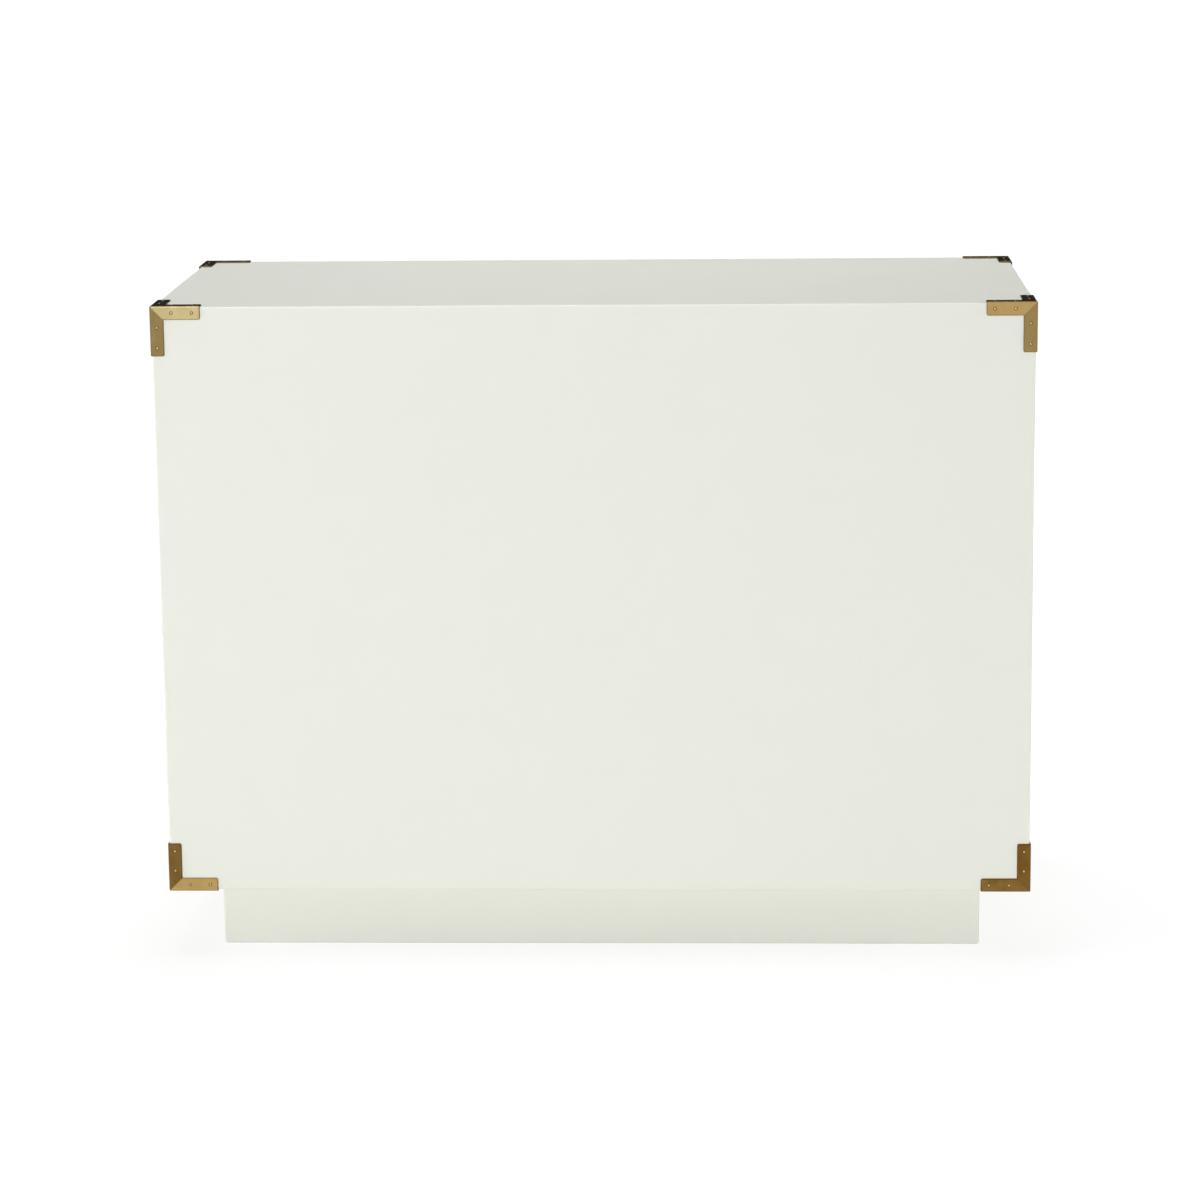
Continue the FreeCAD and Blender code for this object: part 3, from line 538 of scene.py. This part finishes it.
birch_across = make_birch("birch across", (0, 0, 0))
birch_deep = make_birch("birch front to back", (0, 0, QUARTER_TURN))
birch_upright = make_birch("birch upright", (0, QUARTER_TURN, 0))
print("birch:", [wood.name for wood in (birch_across, birch_deep, birch_upright)])

# %% [markdown]
# ## Zinc-plated runners
# The runner members are rolled from zinc-plated strip. Rolling leaves faint lines along Y, which
# the brushing group can draw, wider and longer than on brass. The plating has a slight spangle,
# patches of crystal with straight edges, and a Voronoi texture gives those where noise would blur.

# %% Runner steel
ALONG_Y = (0.0, 1.0, 0.0)
ROLL_LINE_WIDTH = 0.6 * MM
ROLL_LINE_LENGTH = 80 * MM
ROLL_LINE_DEPTH = 0.01 * MM
SPANGLES_PER_METRE = 160.0
SPANGLE_SHARE = 0.5
ZINC_DULL = (0.52, 0.54, 0.56, 1)
ZINC_BRIGHT = (0.68, 0.69, 0.70, 1)
# Dark colour for grime with painted shade round the runner screws.
ZINC_GRIME_AND_SHADE = (0.09, 0.09, 0.09, 1)
ZINC_ROUGHNESS = (0.42, 0.30)


def zinc_surface(tree, shader, coords, grime_and_shade_share=0.0):
    """Colour, roughness and rolling lines of zinc plate, with grime and painted shade where a mask says
    so.
    """
    rolled = use_group(tree, BRUSHING, Vector=coords, Along=ALONG_Y, Line_width=ROLL_LINE_WIDTH,
                       Line_length=ROLL_LINE_LENGTH)
    spangle = add_node(tree, "ShaderNodeTexVoronoi", {"Vector": coords, "Scale": SPANGLES_PER_METRE})
    patch = add_node(tree, "ShaderNodeSeparateColor", {0: spangle.outputs["Color"]}).outputs[0]
    tone = blend(tree, "FLOAT", SPANGLE_SHARE, rolled["Streak"], patch)
    zinc = blend_colours(tree, tone, ZINC_DULL, ZINC_BRIGHT)
    feed(tree, shader.inputs["Base Color"], blend_colours(tree, grime_and_shade_share, zinc, ZINC_GRIME_AND_SHADE))
    feed(tree, shader.inputs["Roughness"], ramp(tree, tone, 0.0, 1.0, *ZINC_ROUGHNESS))
    feed(tree, shader.inputs["Normal"], bump(tree, rolled["Height"], ROLL_LINE_DEPTH))


def make_runner_steel():
    material, tree, shader, coords = new_material("zinc plate", Metallic=1.0)
    zinc_surface(tree, shader, coords)
    return material


runner_steel = make_runner_steel()
print("runner steel:", len(runner_steel.node_tree.nodes), "nodes")

# %% [markdown]
# ## Dressing the solids
# Each solid keeps its mesh and only changes its material. The node names say what a piece is, so
# the finish is looked up from the name. The table below is read from top to bottom, and what it
# doesn't name is lacquered.

# %% Dress the solids
FINISHES = (
    ("_bracket", bracket_brass),
    ("_pins", bracket_brass),
    ("_pull_plate", plate_brass),
    ("_pull_screws", plate_brass),
    ("_bail", bail_brass),
    ("_members", runner_steel),
    ("_left_side", birch_deep),
    ("_right_side", birch_deep),
    ("_drawer_back", birch_across),
    ("_drawer_bottom", birch_across),
    ("_blocks", birch_upright),
)


def finish_for(name):
    return next((finish for ending, finish in FINISHES if name.endswith(ending)), lacquer)


def dress(solid, material):
    if not solid.material_slots:
        solid.data.materials.append(material)
    for slot in solid.material_slots:
        slot.material = material


for name, solid in nodes.items():
    dress(solid, finish_for(name))
print("lacquered:", sorted(name for name in nodes if finish_for(name) is lacquer))

# %% [markdown]
# ## Building with Geometry Nodes
# Pins and screws repeat, so Geometry Nodes make them: one small tree models the piece, puts a copy
# on each point, turns it to face outwards and makes the copies real. The points are the vertices
# of a bare mesh, and an attribute on each says which way is out. The finished result is
# turned into a plain mesh, because the export has no instances. Array modifiers could repeat a
# piece too, but these lie on many faces, and each copy is turned by chance.

# %% Trees and their copies
def new_tree(name, sizes):
    """A geometry tree with a geometry input, named size inputs and a geometry output."""
    tree = bpy.data.node_groups.new(name, "GeometryNodeTree")
    tree.interface.new_socket("Geometry", in_out="INPUT", socket_type="NodeSocketGeometry")
    for label, default in sizes.items():
        socket = tree.interface.new_socket(label, in_out="INPUT", socket_type="NodeSocketFloat")
        socket.default_value = default
    tree.interface.new_socket("Geometry", in_out="OUTPUT", socket_type="NodeSocketGeometry")
    source = tree.nodes.new("NodeGroupInput").outputs
    result = tree.nodes.new("NodeGroupOutput").inputs
    return tree, source, result


def copy_to_points(tree, points, piece, material, spin_range, seed):
    """One piece on each point, facing outwards and spun about its axis by chance."""
    outward = add_node(tree, "GeometryNodeInputNamedAttribute", {"Name": "outward"},
                       data_type="FLOAT_VECTOR").outputs[0]
    facing = add_node(tree, "FunctionNodeAlignRotationToVector", {"Vector": outward}, axis="Z")
    spin = add_node(tree, "FunctionNodeRandomValue", data_type="FLOAT")
    for socket, value in (("Min", -spin_range), ("Max", spin_range)):
        next(s for s in spin.inputs if s.name == socket and s.enabled).default_value = value
    spin.inputs["Seed"].default_value = seed
    turn = next(s for s in spin.outputs if s.enabled)
    copies = add_node(tree, "GeometryNodeInstanceOnPoints", {
        "Points": points, "Instance": piece, "Rotation": facing.outputs[0]})
    spun = add_node(tree, "GeometryNodeRotateInstances", {
        "Instances": copies.outputs[0], "Rotation": combine(tree, 0.0, 0.0, turn), "Local Space": True})
    real = add_node(tree, "GeometryNodeRealizeInstances", {0: spun.outputs[0]})
    dressed = add_node(tree, "GeometryNodeSetMaterial", {0: real.outputs[0], "Material": material})
    return dressed.outputs[0]


def points_object(name, places):
    """A bare mesh with a vertex at each place and its outward direction as an attribute."""
    mesh = bpy.data.meshes.new(name)
    mesh.from_pydata([place for place, _ in places], [], [])
    outward = mesh.attributes.new("outward", "FLOAT_VECTOR", "POINT")
    for index, (_, direction) in enumerate(places):
        outward.data[index].vector = direction
    piece = bpy.data.objects.new(name, mesh)
    bpy.context.scene.collection.objects.link(piece)
    return piece


def grow(piece, tree, sizes):
    """Runs a tree on a piece with its sizes, and keeps the result as a plain mesh."""
    modifier = piece.modifiers.new("grow", "NODES")
    modifier.node_group = tree
    for item in tree.interface.items_tree:
        if item.in_out == "INPUT" and item.name in sizes:
            modifier[item.identifier] = sizes[item.name]
    graph = bpy.context.evaluated_depsgraph_get()
    result = bpy.data.meshes.new_from_object(piece.evaluated_get(graph))
    piece.modifiers.clear()
    piece.data = result
    print(piece.name, "has", len(result.polygons), "faces")
    return piece


# %% Shapes that heads share
def squashed_ball(tree, segments, rings, radius, height):
    """A ball pressed flat, until its top is as high above its middle as the dome is to be."""
    ball = add_node(tree, "GeometryNodeMeshUVSphere", {
        "Segments": segments, "Rings": rings, "Radius": radius}).outputs["Mesh"]
    squeeze = combine(tree, 1.0, 1.0, calc(tree, "DIVIDE", height, radius))
    return add_node(tree, "GeometryNodeTransform", {"Geometry": ball, "Scale": squeeze}).outputs[0]


def lifted(tree, piece, height):
    lift = combine(tree, 0.0, 0.0, height)
    return add_node(tree, "GeometryNodeTransform", {"Geometry": piece, "Translation": lift}).outputs[0]


def point_on_head(tree):
    """Where a point lies on a head, as X, Y and Z, and how far it is from the head's axis."""
    place = split(tree, tree.nodes.new("GeometryNodeInputPosition").outputs[0])
    x, y = place["X"], place["Y"]
    radius = calc(tree, "SQRT", calc(tree, "MULTIPLY_ADD", x, x, calc(tree, "MULTIPLY", y, y)))
    return place, radius


def store(tree, piece, name, value, **settings):
    """Keeps a value on the piece, for its material to read."""
    inputs = {"Geometry": piece, "Name": name, "Value": value}
    return add_node(tree, "GeometryNodeStoreNamedAttribute", inputs, **settings).outputs[0]


# %% [markdown]
# ## Bracket pins
# Four escutcheon pins hold each face of a bracket, two along each leg, ninety-six in all. A pin
# has a low domed head on a thin collar. A profile spun round would give that shape too. The tree
# flattens half a ball for the dome instead, which takes fewer nodes, and stores how far out each
# point lies, so that the material can darken the crevice round the head with grime and painted
# shade. Screws need the same mask, for their slots too, so a shader group makes it.

# %% Pin brass
CREVICE_RANGE = (0.70, 0.90)
PIN_CREVICE_RANGE = (0.65, 0.72)
PIN_PATCH = 4 * MM
PIN_TARNISH_SHARE = 0.5
PIN_WORN = (0.58, 0.45, 0.22, 1)
PIN_ROUGHNESS = (0.26, 0.6)


# The crevice mask darkens the rim of a head and its slots with grime and painted shade.
def make_crevice():
    start, end = CREVICE_RANGE
    group, source, result = new_group(
        "crevice", [("Rim", 0.0), ("Slot", 0.0), ("Start", start), ("End", end)], ["Crevice"]
    )
    edge = ramp(group, source["Rim"], source["Start"], source["End"])
    feed(group, result["Crevice"], calc(group, "MAXIMUM", source["Slot"], edge))
    return group


CREVICE = make_crevice()


def stored(tree, name):
    """A value that a geometry tree has stored on the piece."""
    return add_node(tree, "ShaderNodeAttribute", attribute_name=name).outputs["Fac"]


def make_pin_brass():
    material, tree, shader, coords = new_material("pin brass", **LACQUERED_METAL)
    start, end = PIN_CREVICE_RANGE
    crevice = use_group(tree, CREVICE, Rim=stored(tree, "rim"), Start=start, End=end)["Crevice"]
    tarnish = use_group(tree, TARNISH, Vector=coords, Patch_size=PIN_PATCH)["Tarnish"]
    tarnish_and_shade_share = calc(tree, "MULTIPLY", tarnish, PIN_TARNISH_SHARE)
    wear_and_painted_light = blend_colours(tree, tarnish_and_shade_share, PIN_WORN, BRASS_GOLDEN)
    # Grime and painted shade in the crevice round the head.
    feed(tree, shader.inputs["Base Color"], blend_colours(tree, crevice, wear_and_painted_light, GRIME_AND_SHADE))
    feed(tree, shader.inputs["Roughness"], ramp(tree, crevice, 0.0, 1.0, *PIN_ROUGHNESS))
    return material


pin_brass = make_pin_brass()
print("pin brass:", len(pin_brass.node_tree.nodes), "nodes")

# %% Pin tree
BRACKET_PIN = {"Head radius": 2.1 * MM, "Dome radius": 1.45 * MM, "Dome height": 0.62 * MM,
               "Collar height": 0.08 * MM}
PIN_SEGMENTS = 16
PIN_RINGS = 8
PIN_SPIN = math.pi
PIN_SEED = 3
# The dome's lowest ring lies at zero, and this keeps it when the half below is deleted.
PIN_CUT_MARGIN = 0.01 * MM


def make_pin_tree(material):
    tree, source, result = new_tree("bracket pins", BRACKET_PIN)
    ball = squashed_ball(tree, PIN_SEGMENTS, PIN_RINGS, source["Dome radius"], source["Dome height"])
    place, radius = point_on_head(tree)
    below = add_node(tree, "FunctionNodeCompare", {0: place["Z"], 1: -PIN_CUT_MARGIN},
                     operation="LESS_THAN")
    dome = add_node(tree, "GeometryNodeDeleteGeometry", {
        "Geometry": ball, "Selection": below.outputs[0]}).outputs[0]
    collar = add_node(tree, "GeometryNodeMeshCone", {
        "Vertices": PIN_SEGMENTS, "Radius Top": source["Dome radius"],
        "Radius Bottom": source["Head radius"], "Depth": source["Collar height"]},
        fill_type="NONE").outputs["Mesh"]
    pin = tree.nodes.new("GeometryNodeJoinGeometry")
    feed(tree, pin.inputs[0], lifted(tree, dome, source["Collar height"]))
    feed(tree, pin.inputs[0], collar)
    smooth = add_node(tree, "GeometryNodeSetShadeSmooth", {0: pin.outputs[0]}).outputs[0]
    ringed = store(tree, smooth, "rim", calc(tree, "DIVIDE", radius, source["Head radius"]))
    copies = copy_to_points(tree, source["Geometry"], ringed, material, PIN_SPIN, PIN_SEED)
    feed(tree, result["Geometry"], copies)
    return tree


pin_tree = make_pin_tree(pin_brass)
print("pin tree:", len(pin_tree.nodes), "nodes")

# %% Pin places
PIN_FROM_CORNER = (26.5 * MM, 51.5 * MM)


def bracket_pin_places():
    """Two pins along each leg of each face: a place on the face and the way out of it."""
    places = []
    signs = [Vector((i, j, k)) for i in (-1, 1) for j in (-1, 1) for k in (-1, 1)]
    for sign in signs:
        for out in range(3):
            for along in sorted({0, 1, 2} - {out}):
                for reach in PIN_FROM_CORNER:
                    inward = Vector((BRACKET_WIDTH / 2,) * 3)
                    inward[out] = 0
                    inward[along] = reach
                    direction = Vector((0, 0, 0))
                    direction[out] = sign[out]
                    places.append((case_middle + (corner_reach - inward) * sign, direction))
    return places


pins = grow(points_object("bracket_pin_heads", bracket_pin_places()), pin_tree, BRACKET_PIN)
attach(pins, "case")
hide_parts("bracket_pins")

# %% [markdown]
# ## Pull screws
# Each plate is held by four countersunk screws with slotted heads. The tree cuts the slot out of
# a low dome with a Boolean once, and every screw is a copy of it, spun by chance, because nobody
# lines up screws by eye. A dark line in the material would look the same from afar, but a slot
# that is cut also catches the light. The material darkens the slot and the rim of the head as
# well, with grime and painted shade. Screws move with their drawer, so each drawer has a mesh of
# its own.

# %% Screw tree
SCREW_SEGMENTS = 24
SCREW_RINGS = 12
SCREW_SPIN = QUARTER_TURN
SCREW_SEED = 7
# A hair over a half, so that the walls of a slot count as inside it.
SLOT_HALF_SHARE = 0.51


def make_slots(tree, source, crossed):
    """The blocks that cut a slot, or a cross of two. Each is centred on the top of the dome, so
    it is twice as high as the slot is deep."""
    height = calc(tree, "MULTIPLY", source["Slot depth"], 2.0)
    size = combine(tree, source["Slot length"], source["Slot width"], height)
    block = add_node(tree, "GeometryNodeMeshCube", {"Size": size}).outputs["Mesh"]
    slots = [lifted(tree, block, source["Rise"])]
    if crossed:
        inputs = {"Geometry": slots[0], "Rotation": (0, 0, QUARTER_TURN)}
        slots.append(add_node(tree, "GeometryNodeTransform", inputs).outputs[0])
    return slots


def inside_slots(tree, source, place, radius, crossed):
    """One for what lies between the walls and the ends of a slot."""
    off_slot = calc(tree, "ABSOLUTE", place["Y"])
    if crossed:
        off_slot = calc(tree, "MINIMUM", off_slot, calc(tree, "ABSOLUTE", place["X"]))
    to_wall = calc(tree, "MULTIPLY", source["Slot width"], SLOT_HALF_SHARE)
    to_end = calc(tree, "MULTIPLY", source["Slot length"], SLOT_HALF_SHARE)
    between_walls = calc(tree, "LESS_THAN", off_slot, to_wall)
    between_ends = calc(tree, "LESS_THAN", radius, to_end)
    return calc(tree, "MULTIPLY", between_walls, between_ends)


def make_screw_tree(name, sizes, material, crossed=False):
    """Domed heads with a slot, or with a cross of two slots, on the points of a bare mesh."""
    tree, source, result = new_tree(name, sizes)
    dome = squashed_ball(tree, SCREW_SEGMENTS, SCREW_RINGS, source["Head radius"], source["Rise"])
    cut = add_node(tree, "GeometryNodeMeshBoolean", {"Mesh 1": dome}, operation="DIFFERENCE")
    for slot in make_slots(tree, source, crossed):
        feed(tree, cut.inputs["Mesh 2"], slot)
    place, radius = point_on_head(tree)
    rim = calc(tree, "DIVIDE", radius, source["Head radius"])
    ringed = store(tree, cut.outputs["Mesh"], "rim", rim)
    inside = inside_slots(tree, source, place, radius, crossed)
    slotted = store(tree, ringed, "slot", inside, domain="FACE")
    copies = copy_to_points(tree, source["Geometry"], slotted, material, SCREW_SPIN, SCREW_SEED)
    feed(tree, result["Geometry"], copies)
    print(name, "tree:", len(tree.nodes), "nodes")
    return tree


# %% Pull screws
DRAWERS = ("bottom", "middle", "top")
HANDS = ("left", "right")
PULL_SCREW = {"Head radius": 2.7 * MM, "Rise": 0.35 * MM, "Slot width": 0.7 * MM,
              "Slot length": 8 * MM, "Slot depth": 0.55 * MM}
SCREW_FROM_END = 4.75 * MM
SCREW_FROM_EDGE = 8 * MM


def screw_crevice(tree):
    """The mask of a screw's rim and slots, which grime and painted shade darken."""
    return use_group(tree, CREVICE, Rim=stored(tree, "rim"), Slot=stored(tree, "slot"))["Crevice"]


def make_screw_brass():
    material, tree, shader, coords = new_material("screw brass", **LACQUERED_METAL)
    # The rim and the slot are darkened with grime and painted shade.
    brass_surface(tree, shader, coords, ALONG_X, BRASS_GOLDEN, 0.0, 0.0, screw_crevice(tree))
    return material


def screw_places(drawer):
    """Four screws to a plate, in the flanges at the two ends of its dish."""
    places = []
    for hand in HANDS:
        low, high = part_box(f"{drawer}_drawer_{hand}_pull_plate")
        for x in (low.x + SCREW_FROM_END, high.x - SCREW_FROM_END):
            for z in (low.z + SCREW_FROM_EDGE, high.z - SCREW_FROM_EDGE):
                places.append((Vector((x, low.y, z)), Vector((0, -1, 0))))
    return places


screw_tree = make_screw_tree("pull screws", PULL_SCREW, make_screw_brass())
for drawer in DRAWERS:
    heads = points_object(f"{drawer}_drawer_screw_heads", screw_places(drawer))
    screws = grow(heads, screw_tree, PULL_SCREW)
    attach(screws, f"{drawer}_drawer")
    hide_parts(f"{drawer}_drawer_pull_screws")

# %% [markdown]
# ## Runner screws
# Pan-head screws with a cross recess fix the inner member of each runner to the side of its
# drawer. They show when a drawer is open. The same tree makes them, with a larger dome and a
# second slot across the first, and they are zinc plated like the runners.

# %% Runner screws
RUNNER_SCREW = {"Head radius": 3.4 * MM, "Rise": 1.6 * MM, "Slot width": 1.0 * MM,
                "Slot length": 4.2 * MM, "Slot depth": 1.1 * MM}
RUNNER_GAUGE = 1.2 * MM
RUNNER_SCREW_SHARES = (0.09, 0.38, 0.91)


def make_screw_zinc():
    material, tree, shader, coords = new_material("screw zinc", Metallic=1.0)
    # The rim and the cross slots are darkened with grime and painted shade.
    zinc_surface(tree, shader, coords, screw_crevice(tree))
    return material


def runner_screw_places(drawer):
    """Three screws along the web of each inner member, which faces the side of the case."""
    low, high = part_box(f"{drawer}_drawer_runner_drawer_members")
    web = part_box(f"{drawer}_drawer_right_side")[1].x + RUNNER_GAUGE
    places = []
    for side in (-1, 1):
        for share in RUNNER_SCREW_SHARES:
            place = Vector((side * web, low.y + share * (high.y - low.y), (low.z + high.z) / 2))
            places.append((place, Vector((side, 0, 0))))
    return places


runner_screw_tree = make_screw_tree("runner screws", RUNNER_SCREW, make_screw_zinc(), crossed=True)
for drawer in DRAWERS:
    heads = points_object(f"{drawer}_drawer_runner_screw_heads", runner_screw_places(drawer))
    runner_screws = grow(heads, runner_screw_tree, RUNNER_SCREW)
    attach(runner_screws, f"{drawer}_drawer")

# %% [markdown]
# ## Floor
# The chest stands on a white floor that runs out of sight. The camera, and reflections in the
# brass, see it as white paper that only keeps a soft shadow: most of what they see is an even
# glow of one or less, and a thin share of diffuse white carries the shadow. Other light rays see
# plain diffuse white, so the floor throws no more light on the chest than paper would.

# %% Floor
FLOOR_SIZE = 80.0
GLOW_REACH = (1.0, 3.0)
GLOW_STRENGTHS = (0.80, 1.0)
PAPER_WHITE = (0.92, 0.92, 0.92, 1)
SHADOW_WHITE = (0.25, 0.25, 0.25, 1)


def seen_directly(tree):
    """One for rays from the camera and in reflections or glass, zero for diffuse light."""
    path = tree.nodes.new("ShaderNodeLightPath").outputs
    mirrors = calc(tree, "MAXIMUM", path["Is Glossy Ray"], path["Is Transmission Ray"])
    return calc(tree, "MAXIMUM", path["Is Camera Ray"], mirrors)


def make_floor_paper():
    material = bpy.data.materials.new("floor paper")
    material.use_nodes = True
    tree = material.node_tree
    tree.nodes.remove(tree.nodes["Principled BSDF"])
    coords = tree.nodes.new("ShaderNodeTexCoord").outputs["Object"]
    distance = add_node(tree, "ShaderNodeVectorMath", {0: coords}, operation="LENGTH").outputs["Value"]
    glow = ramp(tree, distance, *GLOW_REACH, *GLOW_STRENGTHS)
    paper = add_node(tree, "ShaderNodeBsdfDiffuse", {"Color": PAPER_WHITE}).outputs[0]
    shadow = add_node(tree, "ShaderNodeBsdfDiffuse", {"Color": SHADOW_WHITE}).outputs[0]
    light = add_node(tree, "ShaderNodeEmission", {"Strength": glow}).outputs[0]
    shown = add_node(tree, "ShaderNodeAddShader", {0: shadow, 1: light}).outputs[0]
    mixed = add_node(tree, "ShaderNodeMixShader", {0: seen_directly(tree), 1: paper, 2: shown})
    feed(tree, tree.nodes["Material Output"].inputs["Surface"], mixed.outputs[0])
    return material


def make_floor():
    half = FLOOR_SIZE / 2
    mesh = bpy.data.meshes.new("floor")
    mesh.from_pydata([(-half, -half, 0), (half, -half, 0), (half, half, 0), (-half, half, 0)], [],
                     [(0, 1, 2, 3)])
    mesh.materials.append(make_floor_paper())
    floor = bpy.data.objects.new("floor", mesh)
    bpy.context.scene.collection.objects.link(floor)


make_floor()
print("floor:", FLOOR_SIZE, "m square")

# %% [markdown]
# ## Studio light
# The world is a dim even dome, which the camera sees as white. In reflections it is white too,
# but for one dark side, low down beyond the drawers, as a studio has behind its lights: that is
# what makes the tops of the brackets read dark from behind. Large soft lamps then light each
# side. A strip light and a card that only gloss can see draw the highlights on the brass. A
# picture of a real studio could give both, but lamps can be changed one at a time.

# %% World
DOME_STRENGTH = 0.22
DARK_SIDE_STRENGTH = 0.03
# The Y and the Z of a direction where the dark side starts, and where it is full.
DARK_SIDE_Y = (0.0, -0.35)
DARK_SIDE_Z = (0.90, 0.60)
WHITE = (1, 1, 1, 1)


def make_world():
    world = bpy.data.worlds.new("studio")
    world.use_nodes = True
    tree = world.node_tree
    background = tree.nodes["Background"]
    direction = split(tree, tree.nodes.new("ShaderNodeTexCoord").outputs["Generated"])
    beyond = ramp(tree, direction["Y"], *DARK_SIDE_Y)
    low = ramp(tree, direction["Z"], *DARK_SIDE_Z)
    dark_side = calc(tree, "MULTIPLY", beyond, low)
    studio = ramp(tree, dark_side, 0.0, 1.0, 1.0, DARK_SIDE_STRENGTH)
    path = tree.nodes.new("ShaderNodeLightPath").outputs
    seen = calc(tree, "MAXIMUM", path["Is Camera Ray"], path["Is Transmission Ray"])
    plain = ramp(tree, seen, 0.0, 1.0, DOME_STRENGTH, 1.0)
    strength = blend(tree, "FLOAT", path["Is Glossy Ray"], plain, studio)
    feed(tree, background.inputs["Strength"], strength)
    feed(tree, background.inputs["Color"], WHITE)
    bpy.context.scene.world = world


make_world()
print("dome:", DOME_STRENGTH, "of white")

# %% Lamps
def add_lamp(name, place, width, height, power, glossy=True, diffuse=True):
    """A soft rectangular lamp that points at the middle of the case, and that gloss or plain
    surfaces may leave out. Lengths are in metres and power is in watts."""
    data = bpy.data.lights.new(name, "AREA")
    data.shape = "RECTANGLE"
    data.size = width
    data.size_y = height
    data.energy = power
    lamp = bpy.data.objects.new(name, data)
    lamp.location = place
    lamp.rotation_euler = (case_middle - Vector(place)).to_track_quat("-Z", "Y").to_euler()
    lamp.visible_glossy = glossy
    lamp.visible_diffuse = diffuse
    bpy.context.scene.collection.objects.link(lamp)


add_lamp("strip light", (0.75, 3.0, 2.9), width=0.5, height=1.4, power=25, diffuse=False)
add_lamp("back softbox", (0.6, 4.9, 0.45), width=2.8, height=0.9, power=112, glossy=False)
add_lamp("overhead softbox", (0.2, -0.1, 3.0), width=2.0, height=1.4, power=44, glossy=False)
add_lamp("left softbox", (3.6, 0.6, 1.2), width=2.0, height=1.6, power=48, glossy=False)
add_lamp("right softbox", (-3.6, 0.4, 1.2), width=2.0, height=1.6, power=40, glossy=False)
add_lamp("front softbox", (-0.8, -4.2, 1.6), width=2.8, height=1.8, power=90, glossy=False)
add_lamp("front card", (-0.5, -3.8, 0.42), width=3.0, height=0.7, power=12, diffuse=False)

# %% [markdown]
# ## Camera
# The photograph looks at the back of the chest from a little above and just right of its middle.
# The place, the angles and the lens were found by matching the corners of the case and the
# plinth, and a small shift of the lens keeps the chest where the photograph has it.

# %% Camera
CAMERA_PLACE = Vector((-0.1751, 4.3818, 1.3743))
CAMERA_YAW, CAMERA_PITCH, CAMERA_ROLL = (math.radians(angle) for angle in (2.307, -10.868, -0.619))
CAMERA_LENS_MM = 104.45
CAMERA_SENSOR_MM = 36.0
CAMERA_SHIFT = -0.08


def make_camera():
    data = bpy.data.cameras.new("camera")
    data.sensor_width = CAMERA_SENSOR_MM
    data.lens = CAMERA_LENS_MM
    data.shift_y = CAMERA_SHIFT
    camera = bpy.data.objects.new("camera", data)
    upright = Euler((QUARTER_TURN + CAMERA_PITCH, 0, math.pi + CAMERA_YAW)).to_matrix()
    turn = (upright @ Matrix.Rotation(CAMERA_ROLL, 3, "Z")).to_4x4()
    camera.matrix_world = Matrix.Translation(CAMERA_PLACE) @ turn
    bpy.context.scene.collection.objects.link(camera)
    bpy.context.scene.camera = camera
    return camera


camera = make_camera()
bpy.context.scene.view_settings.view_transform = "Standard"
print("camera at", tuple(round(value, 3) for value in camera.location))
